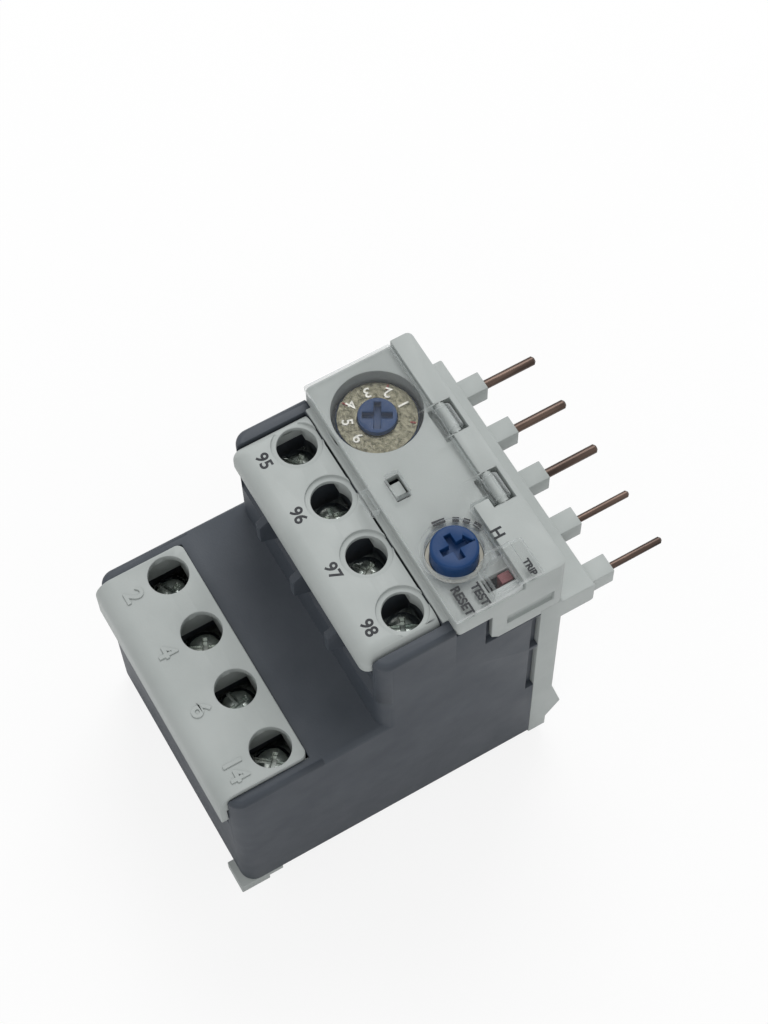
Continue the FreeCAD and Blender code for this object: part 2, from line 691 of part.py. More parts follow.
def front_housing():
    front = Piece("front_housing")
    front.add("YZ", "-" + HALF, HALF, [
        ("cap_y", "seat_top"), ("case_depth", "seat_top"), ("case_depth", "frame_top"),
        ("front_back", "frame_top"), ("front_back", "strip_top"), ("strip_y", "strip_top"),
        ("strip_y", "front_top"), ("cap_y", "front_top")])
    corners = [{"x": side + HALF, "y": end} for side in ("", "-") for end in ("cap_y", "front_back")]
    front.finish_edges("Fillet", "front_corner", "z", corners)
    front.add("XY", "front_top", "strip_top", rect("plateau_x", HALF, "plateau_y", "strip_y"))
    lip = band("0", "2 * upper_cover_half", "lip_front", "cap_y")
    front.add("XY", "upper_top + seam", "upper_cover_top", lip)
    clip = [("clip_front + clip_chamfer", "clip_low"), ("case_depth", "clip_low"), ("case_depth", "seat_top"),
            ("clip_front", "seat_top"), ("clip_front", "clip_low + clip_chamfer")]
    front.add("YZ", "-" + HALF, "clip_thick - " + HALF, clip)
    front.add("YZ", HALF + " - clip_thick", HALF, clip)
    front.cut("XY", "seat_top", "front_top - front_plate",
              band("0", "2 * (%s)" % INNER, "cap_y + wall", "strip_y - wall"))
    front.cut("XZ", "case_depth", "front_back - wall",
              band("0", "2 * (%s)" % INNER, "frame_top + wall", "seat_top - wall"))
    groove = rect("groove_front", "groove_back", "groove_low", "groove_top")
    front.cut("YZ", HALF + " - groove_deep", HALF, groove)
    front.cut("YZ", "-" + HALF, "groove_deep - " + HALF, groove)
    front.add("XY", "seat_top", "front_top - front_plate / 2",
              disc("dial_x", "dial_y", "bezel + 2 * bezel_wall"),
              disc("reset_x", "reset_y", SLEEVE_BORE + " + 2 * cup_wall"))
    front.cut("XY", "seat_top", "upper_top + seam", band("dial_x", "bezel", "step_y", "cap_y"))
    front.cut("XY", "seat_top", "front_top", disc("dial_x", "dial_y", "bezel"),
              disc("reset_x", "reset_y", SLEEVE_BORE))
    test = rect("test_window_left", "test_window_right",
                "test_y - test_window_wide / 2", "test_y + test_window_wide / 2")
    flag = band("flag_x", "flag_wide + 2 * loose_fit",
                "flag_front - flag_travel - loose_fit", "flag_back + loose_fit")
    front.cut("XY", "front_top - front_plate", "front_top", test, flag)
    front.cut("XY", "pocket_floor", "strip_top",
              *[band(side + "knuckle_x", "pocket_long", "pocket_front", "pocket_back") for side in ("-", "")])
    for side in ("-", ""):
        front.add("YZ", "%sknuckle_x - pocket_long / 2 - wall / 2" % side,
                  "%sknuckle_x + pocket_long / 2 + wall / 2" % side, disc("hinge_y", "hinge_z", "hinge_bar"))


def clear_cover():
    cover = Piece("clear_cover")
    plate = [
        ("-clear_half", "cap_y"), ("clear_half", "cap_y"), ("clear_half", "clear_right_back"),
        ("clear_right_x", "clear_right_back"), ("clear_right_x", "clear_back"), ("-clear_half", "clear_back")]
    cover.add("XY", CLEAR_LOW, CLEAR_TOP, plate)
    bevels = [{"y": "cap_y", "z": CLEAR_TOP}]
    cover.finish_edges("Chamfer", "clear_bevel", "x", bevels)
    bevels = [{"x": side + "clear_half", "z": CLEAR_TOP} for side in ("", "-")]
    cover.finish_edges("Chamfer", "clear_bevel", "y", bevels)
    window = rect("window_left", "clear_half", "window_front", "clear_right_back")
    cover.add("XY", CLEAR_LOW, "window_top", window)
    over = rect("window_left", "clear_half", "clear_right_back", "window_back")
    cover.add("XY", "strip_top + 2 * seam", "window_top", over)
    flange = rect("window_left", "clear_half", "window_back", "clear_back")
    cover.add("XY", "strip_top + 2 * seam", "flange_top", flange)
    room = rect("window_left + window_wall", "clear_half - window_wall",
                "window_front + window_wall", "clear_right_back - seam")
    cover.cut("XY", CLEAR_LOW, "window_top - window_wall", room)
    hole = "button + 2 * cover_hole_gap"
    cover.add("XY", CLEAR_LOW, CLEAR_TOP + " + rim_tall", disc("reset_x", "reset_y", hole + " + 2 * rim_wall"))
    cover.cut("XY", CLEAR_LOW, "window_top", disc("reset_x", "reset_y", hole))
    test = rect("test_window_left", "test_window_right",
                "test_y - test_window_wide / 2", "test_y + test_window_wide / 2")
    cover.cut("XY", CLEAR_LOW, CLEAR_TOP, test)
    latch = [("latch_y", CLEAR_LOW + " - latch_drop"), ("cap_y - loose_fit", CLEAR_LOW + " - latch_drop"),
             ("cap_y - loose_fit", CLEAR_LOW), ("cap_y + wall", CLEAR_LOW),
             ("cap_y + wall", CLEAR_TOP + " - clear_bevel"), ("latch_y", CLEAR_TOP + " - clear_bevel")]
    cover.add("YZ", "latch_left", "latch_right", latch)
    for side in ("-", ""):
        left = "%sknuckle_x - knuckle_long / 2" % side
        right = "%sknuckle_x + knuckle_long / 2" % side
        arm_right = "clear_right_x" if side == "" else right
        arm = rect("clear_back - clear_bevel", "hinge_y", CLEAR_LOW, CLEAR_TOP + " - seam")
        cover.add("YZ", left, arm_right, arm)
        cover.add("YZ", left, right, disc("hinge_y", "hinge_z", "knuckle"))
        cover.cut("YZ", left, right, disc("hinge_y", "hinge_z", "hinge_bar + 2 * hinge_bore_fit"))


def pin_side_frame():
    frame = Piece("pin_side_frame")
    profile = [
        ("case_depth", "frame_low"), ("hook_back", "frame_low"), ("hook_back", "hook_root"),
        ("hook_y", "hook_tip"), ("front_back", "hook_top"), ("front_back", "frame_top"),
        ("case_depth", "frame_top")]
    frame.add("YZ", "-" + HALF, HALF, profile)
    frame.cut("XZ", "case_depth", "front_back - frame_wall",
              rect("-(" + INNER + ")", INNER, "hook_root + wall", "shelf_low - wall"))
    frame.add("XZ", "front_back", "shelf_y", rect("-" + HALF, HALF, "shelf_low", "shelf_top"))
    shelf_edges = [{"y": "shelf_y", "z": level} for level in ("shelf_top", "shelf_low")]
    frame.finish_edges("Fillet", "case_round / 2", "x", shelf_edges)
    frame.add("XZ", "shelf_y", "tower_y", *[band(x, "tower_width", "tower_low", "tower_top") for x in PIN_X])
    frame.cut("XZ", "case_depth", "tower_y", *[pin_hole(number, x) for number, x in enumerate(PIN_X)])


def rear_base_plate():
    base = Piece("rear_base_plate")
    half = INNER + " - base_seam"
    base.add("XY", "base_low", "base_top",
             rect("-(" + half + ")", half, "wall + base_seam", BACK_INNER + " - base_seam"))
    for sign in ("-", ""):
        inner = "%s(%s - corner_foot)" % (sign, HALF)
        outer = sign + HALF
        left, right = (outer, inner) if sign else (inner, outer)
        front = "wall + base_seam" if sign else "corner_foot_front"
        base.add("XY", "0", "foot_height", rect(left, right, front, "corner_foot_back"))
        base.add("XY", "base_low", "foot_height", rect(left, right, "corner_foot_back", "corner_step_back"))
        near = "%srear_foot_x" % sign
        far = "%s(rear_foot_x + rear_foot_wide)" % sign
        left, right = (far, near) if sign else (near, far)
        base.add("XY", "0", "base_low", rect(left, right, "rear_foot_front", BACK_INNER + " - base_seam"))
    base.add("XY", "base_top", "main_foot_low",
             *[band(x, "2 * post_half", "post_front", "post_back") for x in MAIN_X[:3]])


def contact_pin(number, x):
    """A pin with a collar that fills its holes and a flat blade inside the case."""
    pin = Piece("contact_pin_%d" % (number + 1))
    edge = pin_size(number) + " / 2"
    blade = "power_blade" if number < 3 else "control_blade"
    collar_end = "tower_y + pin_collar_out"
    pin.turn("XY", (x, "0"), "pin_z", [
        ("0", "pin_root_y"), (edge + " + pin_collar", "pin_root_y"), (edge + " + pin_collar", collar_end),
        (edge, collar_end), (edge, "pin_tip_y - pin_chamfer"), (edge + " - pin_chamfer", "pin_tip_y"),
        ("0", "pin_tip_y")])
    pin.add("XZ", "pin_root_y", "pin_root_y + blade_thick", band(x, blade, "blade_low", "pin_z + blade_rise"))


def main_terminal(number, x):
    plate = Piece("main_terminal_%d" % (number + 1))
    plate.add("XY", "main_plate_low", MAIN_PLATE_TOP,
              band(x, "main_plate_width", "main_plate_front", "lower_cover_back"))
    tail = [("lower_cover_back", "main_plate_low"), ("spare_tail_y", "main_plate_low"),
            ("spare_tail_y", MAIN_PLATE_TOP), ("lower_cover_back", MAIN_PLATE_TOP)]
    if number < 3:
        tail = [
            ("lower_cover_back", "main_plate_low"), ("main_tail_y - main_plate_thick", "main_plate_low"),
            ("main_tail_y - main_plate_thick", "main_foot_low"), ("main_foot_y", "main_foot_low"),
            ("main_foot_y", "main_foot_low + main_plate_thick"),
            ("main_tail_y", "main_foot_low + main_plate_thick"),
            ("main_tail_y", MAIN_PLATE_TOP), ("lower_cover_back", MAIN_PLATE_TOP)]
    plate.add("YZ", "%s - main_tail_width / 2" % x, "%s + main_tail_width / 2" % x, tail)
    plate.cut("XY", "main_plate_low", MAIN_PLATE_TOP, disc(x, "lower_hole_y", "main_thread + 2 * slide_fit"))


def aux_terminal(number, x):
    """A terminal plate whose tail turns down to a fixed contact before or behind the carrier."""
    plate = Piece("aux_terminal_%d" % (number + 1))
    plate.add("XY", "aux_plate_low", AUX_PLATE_TOP, band(x, "aux_plate_width", "aux_plate_front", AUX_BACK))
    closed = number < 2
    face = CLOSED_FACE + " - aux_tail_thick" if closed else OPEN_FACE
    far = CLOSED_FACE if closed else OPEN_FACE + " + aux_tail_thick"
    tail = [(AUX_BACK, "aux_plate_low"), (face, "aux_plate_low"), (face, "aux_tail_low"),
            (far, "aux_tail_low"), (far, AUX_PLATE_TOP), (AUX_BACK, AUX_PLATE_TOP)]
    plate.add("YZ", "%s - aux_tail_width" % x, x, tail)
    plate.cut("XY", "aux_plate_low", AUX_PLATE_TOP, disc(x, "upper_hole_y", "aux_thread + 2 * slide_fit"))


def clamp_plate(label, x, y, side, head_low, thread):
    clamp = Piece(label)
    outline = rect("%s - %s / 2" % (x, side), "%s + %s / 2" % (x, side),
                   "%s - %s / 2" % (y, side), "%s + %s / 2" % (y, side))
    clamp.add("XY", head_low + " - clamp_thick", head_low, outline)
    clamp.cut("XY", head_low + " - clamp_thick", head_low, disc(x, y, thread + " + 2 * slide_fit"))


def screw(label, x, y, kind):
    """A terminal screw: a round head with a cross slot over a plain shank."""
    item = Piece(label)
    low = kind + "_head_low"
    top = "%s_head_low + %s_head_tall" % (kind, kind)
    head = kind + "_head / 2"
    shank = kind + "_thread / 2"
    bottom = "%s - %s_screw_long" % (low, kind)
    item.turn("XZ", (x, "0"), y, [
        ("0", bottom), (shank + " - pin_chamfer", bottom), (shank, bottom + " + pin_chamfer"), (shank, low),
        (head, low), (head, top + " - pin_chamfer"), (head + " - pin_chamfer", top), ("0", top)])
    reach = kind + "_head / 3"
    for wide, long in ((reach, "cross_width / 2"), ("cross_width / 2", reach)):
        arm = rect("%s - %s" % (x, wide), "%s + %s" % (x, wide), "%s - %s" % (y, long), "%s + %s" % (y, long))
        item.cut("XY", top + " - cross_deep", top, arm)


def setting_dial():
    dial = Piece("setting_dial")
    flange_top = "ring_top - ring_thick"
    dial.turn("XZ", ("dial_x", "0"), "dial_y", [
        ("0", "dial_shaft_low"), ("dial_shaft / 2", "dial_shaft_low"), ("dial_shaft / 2", "dial_low"),
        ("dial_flange / 2", "dial_low"), ("dial_flange / 2", flange_top), ("hub / 2", flange_top),
        ("hub / 2", "hub_top"), ("0", "hub_top")])
    dial.add("XY", "cam_low", "dial_shaft_low", disc("dial_x", "dial_y - cam_shift", "cam"))
    for turn in ("dial_cross_angle", "dial_cross_angle + 90"):
        along = "hub_cross_long / 2"
        across = "hub_cross_width / 2"
        corners = [("-", "-"), ("", "-"), ("", ""), ("-", "")]
        arm = []
        for far, wide in corners:
            arm.append(("dial_x + %s%s * cos(%s) - %s%s * sin(%s)" % (far, along, turn, wide, across, turn),
                        "dial_y + %s%s * sin(%s) + %s%s * cos(%s)" % (far, along, turn, wide, across, turn)))
        dial.cut("XY", "hub_top - hub_cross_deep", "hub_top", arm)


def dial_scale_ring():
    ring = Piece("dial_scale_ring")
    ring.add("XY", "ring_top - ring_thick", "ring_top", disc("dial_x", "dial_y", "ring_outer"))
    ring.cut("XY", "ring_top - ring_thick", "ring_top", disc("dial_x", "dial_y", "hub"))


def adjusting_lever():
    lever = Piece("adjusting_lever")
    bar = rect("adjust_x - adjust_wide / 2", "adjust_x + adjust_wide / 2", "adjust_tip", "adjust_y")
    lever.add("XY", "adjust_low", "adjust_top", bar)
    lever.add("XY", "adjust_low", "adjust_top", disc("adjust_x", "adjust_y", "adjust_wide"))
    lever.add("XY", "adjust_top", "adjust_pin_top", disc("adjust_x", "adjust_y", "adjust_pin"))


def reset_button():
    button = Piece("reset_button")
    edge = "button / 2"
    button.turn("XZ", ("reset_x", "0"), "reset_y", [
        ("0", "stem_low"), ("button_stem / 2", "stem_low"), ("button_stem / 2", "spring_seat"),
        ("spring_bore / 2", "spring_seat"), ("spring_bore / 2", "button_low"), (edge, "button_low"),
        (edge, "button_top - pin_chamfer"), (edge + " - pin_chamfer", "button_top"), ("0", "button_top")])
    for half_x, half_y in (("button_slot_long / 2", "button_slot_wide / 2"),
                           ("button_slot_wide / 2", "button_slot_long / 2")):
        arm = rect("reset_x - " + half_x, "reset_x + " + half_x, "reset_y - " + half_y, "reset_y + " + half_y)
        button.cut("XY", "button_top - button_slot_deep", "button_top", arm)
    way = "key_wide / 2 + slide_fit"
    keyway = band("reset_x", "2 * (%s)" % way, "reset_y - button", "reset_y - button / 2 + key_deep")
    button.cut("XY", "button_low", "sleeve_top + seam", keyway)


def reset_sleeve():
    sleeve = Piece("reset_sleeve")
    outer = "button + 2 * slide_fit + 2 * sleeve_wall"
    low = "cup_floor + seam"
    sleeve.add("XY", low, "sleeve_top", disc("reset_x", "reset_y", outer))
    sleeve.cut("XY", low, "sleeve_top", disc("reset_x", "reset_y", "button + 2 * slide_fit"))
    key = rect("reset_x - key_wide / 2", "reset_x + key_wide / 2",
               "reset_y - button / 2 - sleeve_wall / 2", "reset_y - button / 2 + key_deep - 2 * slide_fit")
    sleeve.add("XY", low, "sleeve_top - reset_travel", key)


def reset_spring():
    """A coil spring round the button's stem, from the cup's floor to the seat inside the button."""
    low = value("cup_floor + seam + spring_wire / 2")
    high = value("spring_seat - seam - spring_wire / 2")
    middle = value("spring_mean") / 2
    helix = Part.makeLongHelix((high - low) / value("spring_turns"), high - low, middle)
    section = Part.Wire([Part.makeCircle(
        value("spring_wire") / 2, FreeCAD.Vector(middle, 0, 0), FreeCAD.Vector(0, 1, 0))])
    spring = doc.addObject("Part::Feature", "reset_spring")
    spring.Label = "reset_spring"
    spring.Shape = Part.Wire(helix.Edges).makePipeShell([section], True, True)
    spring.Placement = FreeCAD.Placement(
        FreeCAD.Vector(value("reset_x"), value("reset_y - " + ORIGIN_Y), low), FreeCAD.Rotation())
    pieces.append(spring)


def test_slider():
    slider = Piece("test_slider")
    head = rect("test_x - test_long / 2", "test_x + test_long / 2",
                "test_y - test_wide / 2", "test_y + test_wide / 2")
    slider.add("XY", "seat_top + seam", "test_top", head)
    stem = rect("test_x - test_stem / 2", "test_x + test_stem / 2",
                "test_y - test_stem / 2", "test_y + test_stem / 2")
    slider.add("XY", "test_stem_low", "seat_top + seam", stem)


def arm_outline(x0, y0, x1, y1, width):
    """Corners of a straight arm between two points, both of them expressions."""
    span = "sqrt(((%s) - (%s)) ^ 2 + ((%s) - (%s)) ^ 2)" % (x1, x0, y1, y0)
    side_x = "(%s) / 2 * ((%s) - (%s)) / %s" % (width, y1, y0, span)
    side_y = "(%s) / 2 * ((%s) - (%s)) / %s" % (width, x1, x0, span)
    corners = [(x0, y0, "+", "-"), (x1, y1, "+", "-"), (x1, y1, "-", "+"), (x0, y0, "-", "+")]
    return [("%s %s %s" % (x, way_x, side_x), "%s %s %s" % (y, way_y, side_y))
            for x, y, way_x, way_y in corners]


def trip_lever():
    """An upright shaft with three arms: to the compensating strip, the contact carrier and the flag."""
    lever = Piece("trip_lever")
    lever.add("XY", "trip_low", "trip_top", disc("trip_x", "trip_y", "trip_shaft"))
    arms = [
        ("low_arm", "strip_x + strip_thick + wall / 2", "strip_front - arm_wide / 2"),
        ("mid_arm", "trip_x - carrier_reach", "carrier_pin_y"),
        ("high_arm", "flag_x", "flag_pin_y")]
    for name, end_x, end_y in arms:
        low = name + "_low"
        top = "%s_low + %s_thick" % (name, name)
        lever.add("XY", low, top, disc("trip_x", "trip_y", "trip_hub"))
        lever.add("XY", low, top, arm_outline("trip_x", "trip_y", end_x, end_y, "arm_wide"))
        lever.add("XY", low, top, disc(end_x, end_y, "arm_wide"))
    holder = rect("strip_x + strip_thick", "strip_x + strip_thick + wall",
                  "strip_front - arm_wide / 2", "strip_back")
    lever.add("XY", "low_arm_low", "low_arm_low + low_arm_thick", holder)
    lever.add("XY", "high_arm_low + high_arm_thick", "flag_foot_top - seam",
              disc("flag_x", "flag_pin_y", "flag_pin"))
    lever.add("XY", "carrier_low + seam", "mid_arm_low",
              disc("trip_x - carrier_reach", "carrier_pin_y", "carrier_pin"))


def compensating_bimetal():
    strip = Piece("compensating_bimetal")
    outline = rect("strip_x", "strip_x + strip_thick", "strip_front", "strip_back")
    strip.add("XY", "strip_low", "low_arm_low + low_arm_thick", outline)


def trip_flag():
    flag = Piece("trip_flag")
    left = "flag_x - flag_wide / 2"
    right = "flag_x + flag_wide / 2"
    flag.add("XY", "flag_foot_low", "flag_top", rect(left, right, "flag_front", "flag_back"))
    flag.add("XY", "flag_foot_low", "flag_foot_top", rect(left, right, "flag_foot_front", "flag_front"))
    slot = rect("flag_x - flag_pin / 2 - seam", "flag_x + flag_pin / 2 + seam",
                "flag_pin_y - flag_pin / 2 - slide_fit", "flag_pin_y + flag_pin / 2 + slide_fit")
    flag.cut("XY", "flag_foot_low", "flag_foot_top", slot)


def contact_carrier():
    carrier = Piece("contact_carrier")
    bar = rect("-carrier_half", "carrier_half", CARRIER_FRONT, CARRIER_BACK)
    carrier.add("XY", "carrier_low", "carrier_top", bar)
    slot_x = "trip_x - carrier_reach + carrier_slot_shift"
    pad = band(slot_x, "2 * carrier_slot_long", "carrier_pin_y - carrier_pin", CARRIER_BACK)
    carrier.add("XY", "carrier_low", "carrier_top", pad)
    slot = band(slot_x, "carrier_slot_long",
                "carrier_pin_y - carrier_pin / 2 - slide_fit", "carrier_pin_y + carrier_pin / 2 + slide_fit")
    carrier.cut("XY", "carrier_low", "carrier_top", slot)


def moving_contact(label, x, face, back):
    """A flat bridge that joins two fixed contacts."""
    bridge = Piece(label)
    middle = "(carrier_low + carrier_top) / 2"
    outline = band(x, "2 * bridge_half", middle + " - bridge_tall / 2", middle + " + bridge_tall / 2")
    bridge.add("XZ", face, back, outline)


def shift_bar(label, y, reach_low, reach_high, tab_left):
    """A sliding bar with a tab beside each bimetal strip."""
    bar = Piece(label)
    low = "%s - bar_wide / 2" % y
    high = "%s + bar_wide / 2" % y
    bar.add("XY", "bar_low", "bar_top", rect("bar_left", "bar_right", low, high))
    tabs = []
    for x in MAIN_X[:3]:
        left = "%s + %s" % (x, tab_left)
        tabs.append(rect(left, left + " + tab_thick", reach_low, reach_high))
    bar.add("XY", "bar_low", "bar_top", *tabs)
    return bar


def upper_shift_bar():
    bar = shift_bar("upper_shift_bar", "upper_bar_y", "tab_reach", "upper_bar_y",
                    "bimetal_thick / 2 + loose_fit")
    finger = [("finger_x", "upper_bar_y"), ("finger_x + finger_bump", "upper_bar_y"),
              ("finger_x + finger_bump", "strip_front + 2 * seam"),
              ("strip_x - loose_fit - seam", "strip_front + 2 * seam"),
              ("strip_x - loose_fit - seam", "finger_tip"), ("finger_x", "finger_tip")]
    bar.add("XY", "bar_low", "bar_top", finger)
    bar.cut("XY", "bar_low", "bar_top", disc("balance_x", "upper_bar_y", "balance_pin + 2 * slide_fit"))


def lower_shift_bar():
    bar = shift_bar("lower_shift_bar", "lower_bar_y", "lower_bar_y", "lower_tab_reach",
                    "(-bimetal_thick / 2 - lower_tab_gap - tab_thick)")
    slot = band("balance_x", "balance_pin + 2 * slide_fit",
                "lower_bar_y - balance_slot_long / 2 + slide_fit",
                "lower_bar_y + balance_slot_long / 2 - slide_fit")
    bar.cut("XY", "bar_low", "bar_top", slot)


def differential_lever():
    lever = Piece("differential_lever")
    plate = rect("balance_x - balance_wide / 2", "balance_x + balance_wide / 2",
                 "lower_bar_y - balance_wide / 2", "upper_bar_y + bar_wide / 2 - seam")
    lever.add("XY", "bar_top + seam", "bar_top + seam + balance_thick", plate)
    for y in ("lower_bar_y", "upper_bar_y"):
        lever.add("XY", "bar_low + seam", "bar_top + seam", disc("balance_x", y, "balance_pin"))


def bimetal_strip(number, x):
    strip = Piece("bimetal_strip_%d" % (number + 1))
    outline = rect("%s - bimetal_thick / 2" % x, "%s + bimetal_thick / 2" % x, "bimetal_front", "bimetal_back")
    strip.add("XY", "main_foot_low + main_plate_thick + seam", "bimetal_top", outline)


def heater_winding(number, x):
    """A ribbon winding round a bimetal strip: flat turns joined by a spine."""
    heater = Piece("heater_winding_%d" % (number + 1))
    top = "heater_low + (heater_turns - 1) * heater_pitch + heater_ribbon"
    heater.add("XY", "heater_low", top, band(x, "bimetal_thick", "heater_back - heater_ribbon / 2",
                                             "heater_back + heater_ribbon / 2"))
    turns = []
    for turn in range(int(value("heater_turns"))):
        low = "heater_low + %d * heater_pitch" % turn
        turns.append(rect("heater_front", "heater_back", low, low + " + heater_ribbon"))
    heater.add("YZ", "%s - heater_half" % x, "%s + heater_half" % x, *turns)
    hole = rect("%s - bimetal_thick / 2 - heater_gap" % x, "%s + bimetal_thick / 2 + heater_gap" % x,
                "bimetal_front - heater_gap", "bimetal_back + heater_gap")
    heater.cut("XY", "heater_low", top, hole)


def build():
    """Make every sub-part, fixed shells first and then what moves in them."""
    main_housing()
    main_terminal_block()
    aux_terminal_block()
    lower_terminal_cover()
    upper_terminal_cover()
    front_housing()
    clear_cover()
    pin_side_frame()
    rear_base_plate()
    for number, x in enumerate(PIN_X):
        contact_pin(number, x)
    for number, x in enumerate(MAIN_X):
        main_terminal(number, x)
        clamp_plate("main_clamp_%d" % (number + 1), x, "lower_hole_y", "main_clamp_side",
                    "main_head_low", "main_thread")
        screw("main_screw_%d" % (number + 1), x, "lower_hole_y", "main")
    for number, x in enumerate(AUX_X):
        aux_terminal(number, x)
        clamp_plate("aux_clamp_%d" % (number + 1), x, "upper_hole_y", "aux_clamp_side",
                    "aux_head_low", "aux_thread")
        screw("aux_screw_%d" % (number + 1), x, "upper_hole_y", "aux")
    setting_dial()
    dial_scale_ring()
    adjusting_lever()
    reset_button()
    reset_sleeve()
    reset_spring()
    test_slider()
    trip_lever()
    compensating_bimetal()
    trip_flag()
    contact_carrier()
    tail_middle = " - aux_tail_width / 2"
    moving_contact("moving_contact_closed", "-upper_pitch" + tail_middle,
                   CARRIER_FRONT + " - bridge_thick", CARRIER_FRONT)
    moving_contact("moving_contact_open", "upper_pitch" + tail_middle,
                   CARRIER_BACK, CARRIER_BACK + " + bridge_thick")
    upper_shift_bar()
    lower_shift_bar()
    differential_lever()
    for number, x in enumerate(MAIN_X[:3]):
        bimetal_strip(number, x)
        heater_winding(number, x)


build()
doc.recompute()
faults = [item.Name for item in doc.Objects if {"Invalid", "Error"} & set(item.State)]
for piece in pieces:
    shape = piece.Shape
    if shape.isNull() or not shape.isValid() or len(shape.Solids) != 1:
        faults.append(piece.Label)
if faults:
    raise RuntimeError("These objects are not sound: " + ", ".join(faults))
os.makedirs("parts", exist_ok=True)
for piece in pieces:
    piece.Shape.exportStep("parts/%s.step" % piece.Label)
print(len(pieces), "sub-parts written")
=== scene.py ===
# %% [markdown]
# A thermal overload relay lies on its rear face, with its terminals, dial and reset button upwards.
# The imported construction model gives every part at its real size. This lesson dresses it: it rounds
# the moulded edges, cuts real slots in the screws, adds raised and printed marks and gives each part
# a finish. The first cell loads the model.

# %% Load the construction model
import json
import math
import bpy
import bmesh
from mathutils import Matrix, Vector, noise as hills


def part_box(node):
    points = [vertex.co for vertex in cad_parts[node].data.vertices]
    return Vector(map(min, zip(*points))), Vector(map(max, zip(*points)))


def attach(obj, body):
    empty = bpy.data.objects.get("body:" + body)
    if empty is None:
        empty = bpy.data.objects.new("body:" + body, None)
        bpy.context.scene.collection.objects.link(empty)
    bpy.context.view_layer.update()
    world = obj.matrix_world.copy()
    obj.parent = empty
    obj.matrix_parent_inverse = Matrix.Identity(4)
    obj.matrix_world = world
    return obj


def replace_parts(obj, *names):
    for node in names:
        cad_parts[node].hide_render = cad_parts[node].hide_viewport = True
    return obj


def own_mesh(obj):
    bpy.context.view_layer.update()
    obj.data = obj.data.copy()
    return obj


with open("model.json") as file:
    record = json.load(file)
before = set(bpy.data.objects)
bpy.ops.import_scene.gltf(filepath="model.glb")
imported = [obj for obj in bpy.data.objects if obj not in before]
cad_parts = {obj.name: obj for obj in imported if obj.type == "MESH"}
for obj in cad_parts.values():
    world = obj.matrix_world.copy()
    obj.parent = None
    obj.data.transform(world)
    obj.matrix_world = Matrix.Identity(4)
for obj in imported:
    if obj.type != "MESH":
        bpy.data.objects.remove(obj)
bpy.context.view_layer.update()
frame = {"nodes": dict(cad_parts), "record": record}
MM = 0.001
WHITE = (1.0, 1.0, 1.0, 1.0)
bodies = frame["record"]["behaviour"]["bodies"]
BODY_OF = {node: body for body, nodes in bodies.items() for node in nodes}

# %% [markdown]
# A camera has to stand where the photographer stood, or no edge will line up. The place and turn below
# were worked out from the case's own straight edges: the view is steep, from the front right corner,
# with a long lens. The three rows say which way the image's right, its up and the way back to the
# camera point in the model. Writing the matrix directly avoids any guess about rotation order.

# %% Camera at the photograph's viewing angle
LENS_MM = 81.46
CAMERA_PLACE = Vector((135.6, -71.15, 362.6)) * MM
IMAGE_RIGHT = Vector((0.4996, 0.8661, -0.0147))
IMAGE_UP = Vector((-0.7698, 0.4517, 0.4510))
TOWARDS_CAMERA = Vector((0.3973, -0.2140, 0.8924))
camera_data = bpy.data.cameras.new("camera")
camera_data.sensor_width = 36.0
camera_data.lens = LENS_MM
camera_data.clip_start = 0.01
camera_data.clip_end = 20.0
camera = bpy.data.objects.new("camera", camera_data)
bpy.context.scene.collection.objects.link(camera)
turn = Matrix((IMAGE_RIGHT, IMAGE_UP, TOWARDS_CAMERA)).transposed().to_4x4()
camera.matrix_world = Matrix.Translation(CAMERA_PLACE) @ turn
bpy.context.scene.camera = camera
bpy.context.scene.view_settings.view_transform = "Standard"
print("camera stands", round(camera.location.length, 3), "m from the origin")

# %% [markdown]
# Product photographs of this kind stand on white paper under large soft lamps. A plain square is
# enough for the paper. It gets its finish further on, together with the other finishes.

# %% Floor
FLOOR_HALF = 3.0
floor_mesh = bpy.data.meshes.new("floor")
floor_shape = bmesh.new()
bmesh.ops.create_grid(floor_shape, x_segments=1, y_segments=1, size=FLOOR_HALF)
floor_shape.to_mesh(floor_mesh)
floor_shape.free()
floor = bpy.data.objects.new("floor", floor_mesh)
bpy.context.scene.collection.objects.link(floor)
print("floor:", 2 * FLOOR_HALF, "m wide")

# %% [markdown]
# The world is plain white to the camera, to metal that mirrors it and to clear plastic that passes it
# on, but it lights the object at a lower level, so that each colour renders about as it is written.
# Two maths nodes collect the three kinds of ray that see the full white.

# %% Backdrop
SKY_LIGHT = 0.55
world = bpy.data.worlds.new("studio")
bpy.context.scene.world = world
world.use_nodes = True
sky = world.node_tree.nodes
sky_links = world.node_tree.links
sky["Background"].inputs["Color"].default_value = WHITE
sky["Background"].inputs["Strength"].default_value = SKY_LIGHT
white_sky = sky.new("ShaderNodeBackground")
white_sky.inputs["Color"].default_value = WHITE
white_sky.inputs["Strength"].default_value = 1.0
sky_rays = sky.new("ShaderNodeLightPath")
seen = sky.new("ShaderNodeMath")
seen.operation = "MAXIMUM"
sky_links.new(sky_rays.outputs["Is Camera Ray"], seen.inputs[0])
sky_links.new(sky_rays.outputs["Is Transmission Ray"], seen.inputs[1])
mirrored = sky.new("ShaderNodeMath")
mirrored.operation = "MAXIMUM"
sky_links.new(seen.outputs["Value"], mirrored.inputs[0])
sky_links.new(sky_rays.outputs["Is Glossy Ray"], mirrored.inputs[1])
sky_mix = sky.new("ShaderNodeMixShader")
sky_links.new(mirrored.outputs["Value"], sky_mix.inputs["Fac"])
sky_links.new(sky["Background"].outputs["Background"], sky_mix.inputs[1])
sky_links.new(white_sky.outputs["Background"], sky_mix.inputs[2])
sky_links.new(sky_mix.outputs["Shader"], sky["World Output"].inputs["Surface"])
print("backdrop:", world.name)

